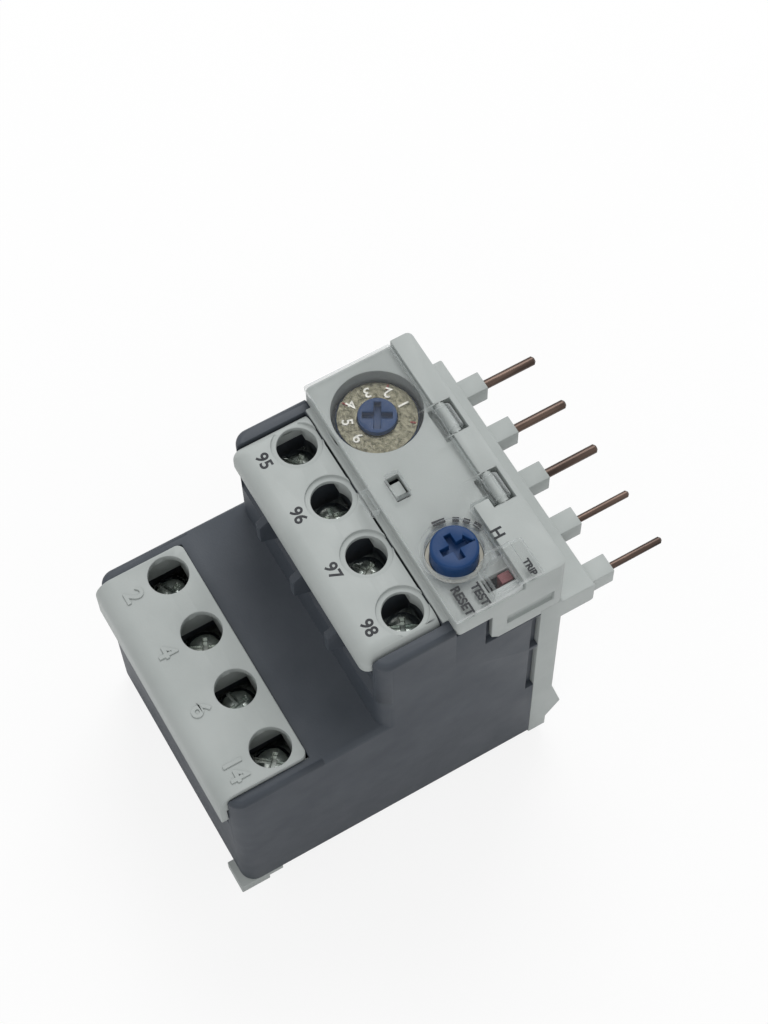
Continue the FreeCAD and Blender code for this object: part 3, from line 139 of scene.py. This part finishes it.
# %% [markdown]
# The photograph's shadow is soft and lies below the relay in the picture, so the main lamp is large
# and stands high behind it. A weaker one on the other side lifts the faces that look at the camera.

# %% Lamps
def lamp(name, place, target, size, power):
    """A square soft lamp that faces a target."""
    data = bpy.data.lights.new(name, "AREA")
    data.shape = "SQUARE"
    data.size = size
    data.energy = power
    item = bpy.data.objects.new(name, data)
    bpy.context.scene.collection.objects.link(item)
    item.location = place
    item.rotation_mode = "QUATERNION"
    item.rotation_quaternion = (Vector(target) - Vector(place)).to_track_quat("-Z", "Y")


MIDDLE = (0.0, 0.0, 0.035)
KEY_WATTS, FILL_WATTS = 4.2, 1.2
lamp("key_lamp", (-0.45, 0.35, 0.75), MIDDLE, 0.5, KEY_WATTS)
lamp("fill_lamp", (0.6, -0.5, 0.55), MIDDLE, 0.7, FILL_WATTS)
print("lamps:", len(bpy.data.lights))

# %% [markdown]
# Every finish here is a small node tree around one Principled shader. Moulded plastic is never one
# flat value: the grain of the mould breaks the highlight, and handling leaves faint paler clouds.
# Object coordinates are in metres, so a noise scale of 2000 gives specks of half a millimetre.

# %% Helpers for the finishes
def finish_nodes(name):
    """A new material, its node tree and its Principled shader."""
    material = bpy.data.materials.new(name)
    material.use_nodes = True
    tree = material.node_tree
    return material, tree, tree.nodes["Principled BSDF"]


def noise(tree, scale, detail=3.0, stretch=(1.0, 1.0, 1.0)):
    """Noise on the object's own coordinates."""
    place = tree.nodes.new("ShaderNodeTexCoord")
    mapping = tree.nodes.new("ShaderNodeMapping")
    mapping.inputs["Scale"].default_value = stretch
    tree.links.new(place.outputs["Object"], mapping.inputs["Vector"])
    texture = tree.nodes.new("ShaderNodeTexNoise")
    texture.inputs["Scale"].default_value = scale
    texture.inputs["Detail"].default_value = detail
    tree.links.new(mapping.outputs["Vector"], texture.inputs["Vector"])
    return texture.outputs["Fac"]


def ramp(tree, source, low, high, start=0.35, end=0.65):
    """Two colours blended by a noise."""
    item = tree.nodes.new("ShaderNodeValToRGB")
    item.color_ramp.elements[0].position = start
    item.color_ramp.elements[0].color = (*low, 1.0)
    item.color_ramp.elements[1].position = end
    item.color_ramp.elements[1].color = (*high, 1.0)
    tree.links.new(source, item.inputs["Fac"])
    return item.outputs["Color"]


def bump(tree, source, shader, strength, distance):
    """Small relief on a finish."""
    item = tree.nodes.new("ShaderNodeBump")
    item.inputs["Strength"].default_value = strength
    item.inputs["Distance"].default_value = distance
    tree.links.new(source, item.inputs["Height"])
    tree.links.new(item.outputs["Normal"], shader.inputs["Normal"])


def spread(tree, source, low, high):
    """Stretch a value to a range, for roughness or for the clear film."""
    item = tree.nodes.new("ShaderNodeMapRange")
    item.inputs["To Min"].default_value = low
    item.inputs["To Max"].default_value = high
    tree.links.new(source, item.inputs["Value"])
    return item.outputs["Result"]


def plastic(name, low, high, rough, grain=2600.0, depth=0.00004, cloud=90.0, gloss=0.3):
    """Moulded plastic: clouded colour, fine grain, uneven gloss."""
    material, tree, shader = finish_nodes(name)
    shader.inputs["Specular IOR Level"].default_value = gloss
    clouds = noise(tree, cloud, 4.0)
    tree.links.new(ramp(tree, clouds, low, high), shader.inputs["Base Color"])
    uneven = spread(tree, noise(tree, cloud * 3.0), rough - 0.07, rough + 0.07)
    tree.links.new(uneven, shader.inputs["Roughness"])
    bump(tree, noise(tree, grain, 2.0), shader, 0.35, depth)
    return material


def metal(name, low, high, rough, scale, stretch=(1.0, 1.0, 1.0), depth=0.00003):
    """Rolled or plated metal: stained colour and drawn streaks."""
    material, tree, shader = finish_nodes(name)
    shader.inputs["Metallic"].default_value = 1.0
    stain = noise(tree, scale, 5.0, stretch)
    tree.links.new(ramp(tree, stain, low, high), shader.inputs["Base Color"])
    uneven = spread(tree, stain, rough - 0.1, rough + 0.12)
    tree.links.new(uneven, shader.inputs["Roughness"])
    bump(tree, noise(tree, scale * 4.0, 3.0, stretch), shader, 0.4, depth)
    return material


# %% [markdown]
# The mouldings come in a few plastics: a dark blue-grey case, light grey covers, blue for what a
# screwdriver turns, dark red for the trip flag and natural nylon for the levers inside. Each one has
# two colours close together, which the clouds blend, and a roughness.

# %% Plastics
dark_plastic = plastic("dark_plastic", (0.046, 0.055, 0.068), (0.060, 0.070, 0.084), 0.5)
light_plastic = plastic("light_plastic", (0.385, 0.415, 0.405), (0.425, 0.455, 0.445), 0.5)
blue_plastic = plastic("blue_plastic", (0.006, 0.036, 0.120), (0.010, 0.048, 0.150), 0.42, gloss=0.2)
red_plastic = plastic("red_plastic", (0.13, 0.03, 0.035), (0.18, 0.04, 0.045), 0.45)
inner_plastic = plastic("inner_plastic", (0.50, 0.48, 0.40), (0.56, 0.54, 0.46), 0.5)
print("plastics:", len(bpy.data.materials))

# %% [markdown]
# Steel screws are zinc plated against rust, the pins are tarnished copper and the contacts are brass.
# A pin is drawn through a die, so its streaks run along it: the noise is stretched that way. Foil is
# dark between its glints, because metal has no colour of its own besides what it mirrors.

# %% Metals
ALONG_Y, ALONG_Z = (1.0, 0.12, 1.0), (1.0, 1.0, 0.2)
zinc = metal("zinc_plate", (0.34, 0.38, 0.36), (0.62, 0.65, 0.61), 0.22, 420.0, depth=0.000006)
copper = metal("dull_copper", (0.036, 0.028, 0.025), (0.115, 0.082, 0.067), 0.34, 700.0, ALONG_Y)
brass = metal("contact_brass", (0.50, 0.34, 0.14), (0.62, 0.44, 0.20), 0.35, 800.0)
strip_steel = metal("strip_steel", (0.36, 0.34, 0.32), (0.50, 0.48, 0.45), 0.38, 600.0, ALONG_Z)
foil = metal("gold_foil", (0.032, 0.031, 0.021), (0.095, 0.090, 0.066), 0.3, 1400.0, depth=0.00006)
# The raised numbers' metal is the foil made paler: a painted highlight for the light their folds
# catch.
foil_painted_highlight = metal("foil_painted_highlight", (0.17, 0.17, 0.155), (0.27, 0.265, 0.245), 0.34, 1400.0,
                    depth=0.00002)
print("metals:", 6)

# %% [markdown]
# The words and numbers on the covers are printed in a dull dark grey ink, and the scale ring has a
# few red marks. Ink is matt and thin, so a plain rough finish with a faint uneven tone is enough.

# %% Inks
dark_ink = plastic("dark_ink", (0.028, 0.030, 0.034), (0.045, 0.048, 0.052), 0.7, cloud=700.0)
red_ink = plastic("red_ink", (0.15, 0.012, 0.012), (0.22, 0.025, 0.02), 0.6, cloud=900.0)
print("inks:", dark_ink.name, red_ink.name)

# %% [markdown]
# The cover over the dial is clear polycarbonate. Real refraction would need many bounces and leave
# the dial dark, because light has to pass in and out again. A thin sheet barely bends light, so it is
# made as a faint pale film that gets stronger where the eye meets it at a slant, as at its edges.

# %% Clear polycarbonate
FILM_FACING, FILM_SLANTED, FILM_START = 0.025, 0.85, 0.20
clear_plastic, clear_tree, clear_shader = finish_nodes("clear_plastic")
clear_shader.inputs["Base Color"].default_value = (0.72, 0.76, 0.76, 1.0)
clear_shader.inputs["Roughness"].default_value = 0.10
clear_shader.inputs["Specular IOR Level"].default_value = 0.7
slant = clear_tree.nodes.new("ShaderNodeLayerWeight")
slant.inputs["Blend"].default_value = 0.45
film = spread(clear_tree, slant.outputs["Facing"], FILM_FACING, FILM_SLANTED)
film.node.inputs["From Min"].default_value = FILM_START
clear_tree.links.new(film, clear_shader.inputs["Alpha"])
bump(clear_tree, noise(clear_tree, 160.0, 2.0), clear_shader, 0.15, 0.0002)
print("clear finish:", clear_plastic.name)

# %% [markdown]
# Each carried-over part now gets its finish in its material slots. A table from the start of a part's
# name to a finish keeps this to one loop. The two terminal blocks come before the terminals, because
# their names start alike, and the first match wins.

# %% Give every construction part its finish
FINISHES = {
    "main_housing": dark_plastic, "main_terminal_block": dark_plastic,
    "aux_terminal_block": dark_plastic, "lower_terminal_cover": light_plastic,
    "upper_terminal_cover": light_plastic, "front_housing": light_plastic,
    "pin_side_frame": light_plastic, "rear_base_plate": light_plastic,
    "clear_cover": clear_plastic, "setting_dial": blue_plastic, "dial_scale_ring": foil,
    "adjusting_lever": inner_plastic, "reset_button": blue_plastic,
    "reset_sleeve": inner_plastic, "reset_spring": strip_steel, "test_slider": light_plastic,
    "trip_lever": inner_plastic, "compensating_bimetal": strip_steel, "trip_flag": red_plastic,
    "contact_carrier": inner_plastic, "moving_contact": brass, "upper_shift_bar": inner_plastic,
    "lower_shift_bar": inner_plastic, "differential_lever": inner_plastic,
    "bimetal_strip": strip_steel, "heater_winding": strip_steel, "contact_pin": copper,
    "main_terminal": brass, "aux_terminal": brass, "main_clamp": zinc, "aux_clamp": zinc,
    "main_screw": zinc, "aux_screw": zinc}


def finish_for(name):
    """The finish of the first table row that the part's name starts with."""
    return next(material for start, material in FINISHES.items() if name.startswith(start))


for name, item in frame["nodes"].items():
    item.data.materials.clear()
    item.data.materials.append(finish_for(name))
print("finished parts:", len(frame["nodes"]))

# %% [markdown]
# The paper has to be white and still keep the object's shadow. An ordinary shader takes the shadow,
# and most of what the camera sees of it is plain white light, so that the shadow stays pale. Other
# rays get the ordinary shader alone, so the paper throws no extra light on the object.

# %% Finish the floor
PAPER_WHITE_SHARE = 0.84
floor_paper, paper_tree, paper_shader = finish_nodes("floor_paper")
paper_shader.inputs["Roughness"].default_value = 0.9
paper_shader.inputs["Specular IOR Level"].default_value = 0.0
tint = ramp(paper_tree, noise(paper_tree, 40.0), (0.955, 0.955, 0.955), (0.97, 0.97, 0.97))
paper_tree.links.new(tint, paper_shader.inputs["Base Color"])
paper_white = paper_tree.nodes.new("ShaderNodeEmission")
paper_rays = paper_tree.nodes.new("ShaderNodeLightPath")
paper_share = paper_tree.nodes.new("ShaderNodeMath")
paper_share.operation = "MULTIPLY"
paper_share.inputs[1].default_value = PAPER_WHITE_SHARE
paper_mix = paper_tree.nodes.new("ShaderNodeMixShader")
paper_tree.links.new(paper_rays.outputs["Is Camera Ray"], paper_share.inputs[0])
paper_tree.links.new(paper_share.outputs["Value"], paper_mix.inputs["Fac"])
paper_tree.links.new(paper_shader.outputs["BSDF"], paper_mix.inputs[1])
paper_tree.links.new(paper_white.outputs["Emission"], paper_mix.inputs[2])
paper_output = paper_tree.nodes["Material Output"]
paper_tree.links.new(paper_mix.outputs["Shader"], paper_output.inputs["Surface"])
floor.data.materials.append(floor_paper)
print("floor finish:", floor_paper.name)

# %% [markdown]
# A new piece is built as a bmesh, in place, and then becomes an object at the origin. It rides on the
# body that carries it, so that it moves with it, and takes its finish as its material. Smooth shading
# stops at edges sharper than an angle, which keeps flat faces flat. A bevel on a part's raw triangles
# would tear it, so the triangles are merged into large faces first.

# %% Helpers for new pieces
MERGE_WITHIN = 0.003 * MM
SEAM_WITHIN = 0.02 * MM
FLAT_WITHIN = math.radians(0.5)
SHARP_ABOVE = math.radians(40.0)
SHELL_SMOOTH_ANGLE = 26.0
SCREW_SMOOTH_ANGLE = 35.0
SPRING_SMOOTH_ANGLE = 60.0
ALL_SMOOTH_ANGLE = 180.0


def finished(name, shape, body, material, smooth_angle=30.0):
    """Turn a bmesh into an object that rides on a body."""
    mesh = bpy.data.meshes.new(name)
    shape.to_mesh(mesh)
    shape.free()
    mesh.shade_smooth()
    mesh.set_sharp_from_angle(angle=math.radians(smooth_angle))
    mesh.materials.clear()
    mesh.materials.append(material)
    item = bpy.data.objects.new(name, mesh)
    bpy.context.scene.collection.objects.link(item)
    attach(item, body)
    return item


def merged_copy(node):
    """A construction part's mesh as one skin of large faces, none of them concave."""
    shape = bmesh.new()
    shape.from_mesh(frame["nodes"][node].data)
    bmesh.ops.remove_doubles(shape, verts=shape.verts, dist=MERGE_WITHIN)
    bmesh.ops.dissolve_limit(shape, angle_limit=FLAT_WITHIN, verts=shape.verts, edges=shape.edges)
    bmesh.ops.connect_verts_concave(shape, faces=shape.faces)
    return shape


def on_seam(edge, seams):
    """True for an edge in a plane where two mouldings meet, given as (axis, place in mm)."""
    return any(all(abs(vert.co[axis] - place * MM) < SEAM_WITHIN for vert in edge.verts)
               for axis, place in seams)


def soften(shape, width, seams=(), segments=2):
    """Round every sharp edge, inner corners too, as a mould does."""
    sharp = [edge for edge in shape.edges
             if edge.is_manifold and edge.calc_face_angle() > SHARP_ABOVE and not on_seam(edge, seams)]
    bmesh.ops.bevel(shape, geom=sharp, offset=width, offset_type="OFFSET", affect="EDGES",
                    segments=segments, profile=0.5, material=-1, clamp_overlap=False)
    return len(sharp)


def keep_inside(shape, node):
    """Pull back what a bevel pushed out of the construction part's box."""
    low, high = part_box(node)
    for vert in shape.verts:
        vert.co = [min(max(vert.co[axis], low[axis]), high[axis]) for axis in range(3)]


def stand_in(node, shape, smooth_angle=30.0):
    """A finer piece that stands for a construction part."""
    piece = finished(node + "_moulded", shape, BODY_OF[node], finish_for(node),
                     smooth_angle)
    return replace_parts(piece, node)


# %% [markdown]
# On the real relay every edge of a moulding is slightly round, because a mould can't fill a perfectly
# sharp corner, and that thin line of light is what makes plastic look like plastic. The Bevel modifier
# could do it, but a bevel on a merged copy can leave out edges by place: where the case's mouldings
# meet, flush and tight, a rounded edge would draw a groove that the real case doesn't show.

# %% Round the moulded shells
SHELLS = {"main_housing": 0.14, "main_terminal_block": 0.14, "aux_terminal_block": 0.14,
          "lower_terminal_cover": 0.16, "upper_terminal_cover": 0.16, "front_housing": 0.15,
          "pin_side_frame": 0.15, "rear_base_plate": 0.15, "clear_cover": 0.14}
CASE_MOULDINGS = ("main_housing", "main_terminal_block", "aux_terminal_block")
CASE_SEAMS = [(1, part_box("main_terminal_block")[1].y / MM),
              (1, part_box("aux_terminal_block")[1].y / MM),
              (2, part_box("aux_terminal_block")[0].z / MM)]
for node, width in SHELLS.items():
    shell = merged_copy(node)
    count = soften(shell, width * MM, CASE_SEAMS if node in CASE_MOULDINGS else ())
    keep_inside(shell, node)
    stand_in(node, shell, SHELL_SMOOTH_ANGLE)
    print(node, "edges rounded:", count)

# %% [markdown]
# Text starts as a font curve. It is made a mesh first and moved after that, so that its place is in
# its vertices. The curve's size is larger than the letters, because a capital is about seven tenths
# of it.

# %% Helper for letters and numbers
CAPITAL_SHARE = 0.70


def lettering(words, height, thick, place, angle=0.0, bold=0.0):
    """A bmesh of text, centred on a place, with its tops towards the back of the relay."""
    curve = bpy.data.curves.new("words", "FONT")
    curve.body = words
    curve.size = height * MM / CAPITAL_SHARE
    curve.extrude = thick * MM / 2
    curve.offset = bold * MM
    curve.align_x = "CENTER"
    curve.align_y = "CENTER"
    curve.resolution_u = 4
    item = bpy.data.objects.new("words", curve)
    bpy.context.scene.collection.objects.link(item)
    bpy.context.view_layer.update()
    mesh = bpy.data.meshes.new_from_object(item)
    bpy.data.objects.remove(item)
    shape = bmesh.new()
    shape.from_mesh(mesh)
    bpy.data.meshes.remove(mesh)
    bmesh.ops.remove_doubles(shape, verts=shape.verts, dist=0.002 * MM)
    spot = Matrix.Translation(Vector(place) * MM) @ Matrix.Rotation(angle, 4, "Z")
    bmesh.ops.transform(shape, matrix=spot, verts=shape.verts)
    return shape


def columns(name):
    """The four screws' places across the relay, in mm."""
    boxes = [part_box("%s_screw_%d" % (name, number)) for number in range(1, 5)]
    return [(low.x + high.x) / 2 / MM for low, high in boxes]


# %% [markdown]
# The numbers on the lower cover are moulded with it: raised a quarter of a millimetre, with soft
# edges, in the cover's own plastic. Only their shade makes them readable. Numbers beside terminals
# are the same on any overload relay: even numbers for the motor's leads.

# %% Raised numbers on the lower cover
RAISED_HEIGHT, RAISED_THICK, RAISED_BOLD = 3.0, 0.5, 0.12
RAISED_Y, RAISED_SHIFT = -33.95, 0.5
lower_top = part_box("lower_terminal_cover")[1].z / MM
for number, x in zip(("2", "4", "6", "14"), columns("main")):
    place = (x + RAISED_SHIFT, RAISED_Y, lower_top)
    shape = lettering(number, RAISED_HEIGHT, RAISED_THICK, place, bold=RAISED_BOLD)
    soften(shape, 0.06 * MM, segments=1)
    finished("raised_number_" + number, shape, "case", light_plastic)
print("raised numbers: 4")

# %% [markdown]
# The auxiliary contacts are numbered 95 to 98, and here the numbers are printed. A print is a skin of
# ink with almost no height, but it still needs some, or its faces would fight with the cover's.

# %% Printed numbers on the upper cover
PRINT_HEIGHT, PRINT_Y, PRINT_BOLD, INK_THICK = 1.9, -9.65, 0.07, 0.03
upper_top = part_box("upper_terminal_cover")[1].z / MM
for number, x in zip(("95", "96", "97", "98"), columns("aux")):
    place = (x, PRINT_Y, upper_top)
    shape = lettering(number, PRINT_HEIGHT, INK_THICK, place, bold=PRINT_BOLD)
    finished("printed_number_" + number, shape, "case", dark_ink)
print("printed numbers: 4")

# %% [markdown]
# Beside the reset button the relay says what its controls do. The words are generic ones, as ON and
# OFF are on a switch. Three are printed on the clear cover and swing up with it, and the H stands on
# the housing behind it. Four short dashes on an arc show the way from automatic to hand reset.

# %% Words and dashes beside the controls
CLEAR_TOP = 61.9
housing_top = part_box("front_housing")[1].z / MM
flange_top = housing_top + 1.1
WORDS = (("RESET", 1.32, (19.75, 3.45, CLEAR_TOP), "cover"),
         ("TEST", 1.25, (20.1, 6.2, CLEAR_TOP), "cover"),
         ("TRIP", 0.98, (20.75, 14.0, flange_top), "cover"),
         ("H", 1.75, (13.35, 13.1, housing_top), "case"))
for words, height, place, body in WORDS:
    shape = lettering(words, height, INK_THICK, place, bold=PRINT_BOLD)
    finished("printed_word_" + words, shape, body, dark_ink)
reset_low, reset_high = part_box("reset_button")
reset_x = (reset_low.x + reset_high.x) / 2 / MM
reset_y = (reset_low.y + reset_high.y) / 2 / MM
DASH_WIDE = 0.8
DASHES = ((173.0, 5.65, 2.0), (147.0, 5.65, 1.0), (131.0, 5.7, 1.0), (114.0, 5.8, 1.2))
dashes = bmesh.new()
for turn_deg, reach, long in DASHES:
    spot = (Matrix.Translation(Vector((reset_x, reset_y, CLEAR_TOP)) * MM)
            @ Matrix.Rotation(math.radians(turn_deg), 4, "Z")
            @ Matrix.Translation(Vector((reach * MM, 0.0, 0.0)))
            @ Matrix.Diagonal((DASH_WIDE * MM, long * MM, INK_THICK * MM, 1.0)))
    bmesh.ops.create_cube(dashes, size=1.0, matrix=spot)
finished("reset_arc_dashes", dashes, "cover", dark_ink)
print("words:", len(WORDS), "dashes:", len(DASHES))

# %% [markdown]
# Round things are spun from half of their outline, as on a lathe, and hollows are cut with a Boolean,
# as with a mill. A bmesh has no Boolean of its own, so the two solids become objects for a moment,
# and the cutter goes away with them.

# %% Helpers for turning and cutting
def spun(outline, x, y, steps=48):
    """A closed solid of revolution round a vertical line, from (radius, height) pairs."""
    shape = bmesh.new()
    verts = [shape.verts.new((x + radius, y, height)) for radius, height in outline]
    edges = [shape.edges.new(pair) for pair in zip(verts, verts[1:])]
    bmesh.ops.spin(shape, geom=verts + edges, cent=(x, y, 0.0), axis=(0.0, 0.0, 1.0),
                   angle=2 * math.pi, steps=steps, use_merge=True)
    bmesh.ops.remove_doubles(shape, verts=shape.verts, dist=0.001 * MM)
    bmesh.ops.recalc_face_normals(shape, faces=shape.faces)
    return shape


def carved(shape, cutter):
    """The shape with the cutter's solid taken away."""
    items = []
    for name, solid in (("carved", shape), ("cutter", cutter)):
        mesh = bpy.data.meshes.new(name)
        solid.to_mesh(mesh)
        solid.free()
        items.append(bpy.data.objects.new(name, mesh))
        bpy.context.scene.collection.objects.link(items[-1])
    cut = items[0].modifiers.new("cut", "BOOLEAN")
    cut.operation = "DIFFERENCE"
    cut.object = items[1]
    bpy.context.view_layer.update()
    depsgraph = bpy.context.evaluated_depsgraph_get()
    result = bpy.data.meshes.new_from_object(items[0].evaluated_get(depsgraph))
    for item in items:
        bpy.data.objects.remove(item)
    shape = bmesh.new()
    shape.from_mesh(result)
    bpy.data.meshes.remove(result)
    return shape


def block(shape, centre, sizes, angle=0.0):
    """Add a box to a cutter."""
    spot = (Matrix.Translation(centre) @ Matrix.Rotation(angle, 4, "Z")
            @ Matrix.Diagonal((*sizes, 1.0)))
    bmesh.ops.create_cube(shape, size=1.0, matrix=spot)


# %% [markdown]
# A terminal screw is rolled and headed from wire. Its outline has a point, threads, a washer face and
# a low dome, and its recess takes a flat blade as well as a cross, so one arm is longer. Screws stop
# where they are tight, so no two of the eight stand at the same angle.

# %% Terminal screws
THREAD_PITCH = 0.6 * MM
THREAD_CLEAR = 0.4 * MM


def terminal_screw(node, angle):
    """A zinc screw with a slot and a cross in its domed head."""
    low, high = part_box(node)
    x, y = (low.x + high.x) / 2, (low.y + high.y) / 2
    radius = (high.x - low.x) / 2
    shaft = radius * 0.5
    root = shaft * 0.8
    head_low = high.z - radius * 0.8
    outline = [(0.0, low.z), (shaft * 0.7, low.z), (root, low.z + shaft * 0.3)]
    height = outline[-1][1]
    while height + THREAD_PITCH < head_low - THREAD_CLEAR:
        outline += [(root, height + THREAD_PITCH * 0.1), (shaft, height + THREAD_PITCH * 0.5),
                    (root, height + THREAD_PITCH * 0.9)]
        height += THREAD_PITCH
    outline += [(root, head_low), (radius * 0.96, head_low), (radius, head_low + radius * 0.06),
                (radius, high.z - radius * 0.26), (radius * 0.95, high.z - radius * 0.18),
                (radius * 0.75, high.z - radius * 0.08), (radius * 0.4, high.z - radius * 0.015),
                (0.0, high.z)]
    deep = radius * 0.42
    blade = radius * 0.27
    slot = bmesh.new()
    block(slot, (x, y, high.z), (radius * 2.2, blade, deep * 2), angle)
    cross = bmesh.new()
    block(cross, (x, y, high.z), (blade, radius * 1.15, deep * 2.6), angle)
    shape = carved(carved(spun(outline, x, y), slot), cross)
    soften(shape, 0.05 * MM, segments=1)
    stand_in(node, shape, SCREW_SMOOTH_ANGLE)


TURNS = (25.0, 64.0, 12.0, 48.0)
EXTRA_TURN = {"main": 0.0, "aux": 17.0}
for number, degrees in enumerate(TURNS, start=1):
    for kind, extra in EXTRA_TURN.items():
        terminal_screw("%s_screw_%d" % (kind, number), math.radians(degrees + extra))
print("screws cut:", len(EXTRA_TURN) * len(TURNS))

# %% [markdown]
# The scale under the clear cover is a ring of thin gold foil, stuck down by hand, so it is crinkled
# and mirrors the room in patches. It is spun as a flat washer, cut finely and lifted by small hills.
# Two sizes of hill are added together, because a crinkle has finer crinkles on it.

# %% Foil ring
FOIL_LIFT = 0.05 * MM
FOIL_RINGS, FOIL_STEPS = 26, 220
WIDE_HILLS, FINE_HILLS = 1900.0, 4300.0
HILL_LIMIT = 0.9
ring_low, ring_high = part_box("dial_scale_ring")
dial_x, dial_y = (ring_low.x + ring_high.x) / 2, (ring_low.y + ring_high.y) / 2
ring_outer = (ring_high.x - ring_low.x) / 2
ring_inner = 3.05 * MM
wall = [(ring_inner, ring_low.z)]
wall += [(ring_inner + (ring_outer - ring_inner) * step / FOIL_RINGS, ring_high.z - FOIL_LIFT)
         for step in range(FOIL_RINGS + 1)]
wall += [(ring_outer, ring_low.z), (ring_inner, ring_low.z)]
ring = spun(wall, dial_x, dial_y, steps=FOIL_STEPS)
for vert in ring.verts:
    if vert.co.z > ring_low.z + FOIL_LIFT:
        hill = hills.noise(vert.co * WIDE_HILLS) * 0.6 + hills.noise(vert.co * FINE_HILLS) * 0.4
        vert.co.z += max(-HILL_LIMIT, min(HILL_LIMIT, hill)) * FOIL_LIFT
piece = finished("dial_foil_ring", ring, "dial", foil,
                 ALL_SMOOTH_ANGLE)
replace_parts(piece, "dial_scale_ring")
print("foil ring faces:", len(piece.data.polygons))

# %% [markdown]
# Plain numbers run round the foil, raised, in a paler metal whose colour is a painted highlight for
# the light an embossed foil catches along its folds. They and the three red marks at the rim turn with
# the dial, so they ride on it.

# %% Numbers and red marks on the foil
NUMBER_DEGREES = (90.0, 130.0, 170.0, 210.0, 250.0, 290.0)
NUMBER_HEIGHT, NUMBER_THICK, NUMBER_BOLD = 1.7, 0.12, 0.03
MARK_DEGREES = (214.0, 134.0, 51.0)
MARK_SIZES = (0.9 * MM, 0.28 * MM, 0.05 * MM)
middle_reach = (ring_inner + ring_outer) / 2 / MM
for number, degrees in enumerate(NUMBER_DEGREES, start=1):
    angle = math.radians(degrees)
    spot = (dial_x / MM + middle_reach * math.cos(angle),
            dial_y / MM + middle_reach * math.sin(angle), ring_high.z / MM)
    shape = lettering(str(number), NUMBER_HEIGHT, NUMBER_THICK, spot, angle + math.pi / 2,
                      bold=NUMBER_BOLD)
    finished("dial_number_%d" % number, shape, "dial", foil_painted_highlight)
marks = bmesh.new()
mark_reach = ring_outer - 0.75 * MM
mark_high = ring_high.z + 0.01 * MM
for degrees in MARK_DEGREES:
    angle = math.radians(degrees)
    centre = (dial_x + mark_reach * math.cos(angle), dial_y + mark_reach * math.sin(angle), mark_high)
    block(marks, centre, MARK_SIZES, angle)
finished("dial_red_marks", marks, "dial", red_ink)
print("numbers on the dial:", len(NUMBER_DEGREES), "red marks:", len(MARK_DEGREES))

# %% [markdown]
# The dial and the reset button are turned with a screwdriver, so their cross slots have soft rims from
# the mould. The button's cross also has an arrow head at the end of one arm, which points at the mode.

# %% Dial hub and reset button
CONTROL_ROUND = 0.10 * MM
ARROW_SIZE, ARROW_DEEP, ARROW_REACH = 1.05 * MM, 1.0 * MM, 1.95
hub = merged_copy("setting_dial")
soften(hub, CONTROL_ROUND)
stand_in("setting_dial", hub, SHELL_SMOOTH_ANGLE)
button = merged_copy("reset_button")
arrow = bmesh.new()
tip = (Matrix.Translation((reset_x * MM, (reset_y + ARROW_REACH) * MM, reset_high.z))
       @ Matrix.Rotation(math.pi / 2, 4, "Z"))
bmesh.ops.create_cone(arrow, cap_ends=True, segments=3, radius1=ARROW_SIZE, radius2=ARROW_SIZE,
                      depth=2 * ARROW_DEEP, matrix=tip)
button = carved(button, arrow)
bmesh.ops.remove_doubles(button, verts=button.verts, dist=MERGE_WITHIN)
bmesh.ops.connect_verts_concave(button, faces=button.faces)
soften(button, CONTROL_ROUND)
stand_in("reset_button", button, SHELL_SMOOTH_ANGLE)
print("turned controls: 2")

# %% [markdown]
# Three small mouldings show in the cover's windows and under the button. They are rounded like the
# shells, by less, because a small mould is cut more sharply.

# %% Rounded small mouldings
SMALL_ROUND = 0.08 * MM
for node in ("trip_flag", "test_slider", "reset_sleeve"):
    small = merged_copy(node)
    count = soften(small, SMALL_ROUND)
    stand_in(node, small, SHELL_SMOOTH_ANGLE)
    print(node, "edges rounded:", count)

# %% [markdown]
# The reset spring sits between the cup's floor and the button, and pressing the button shortens it.
# Here it is a copy of the construction spring with its own mesh, on the body that carries that spring.

# %% Reset spring
coil = bmesh.new()
coil.from_mesh(frame["nodes"]["reset_spring"].data)
spring = finished("reset_spring_wound", coil, BODY_OF["reset_spring"], finish_for("reset_spring"),
                  SPRING_SMOOTH_ANGLE)
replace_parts(spring, "reset_spring")
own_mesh(spring)
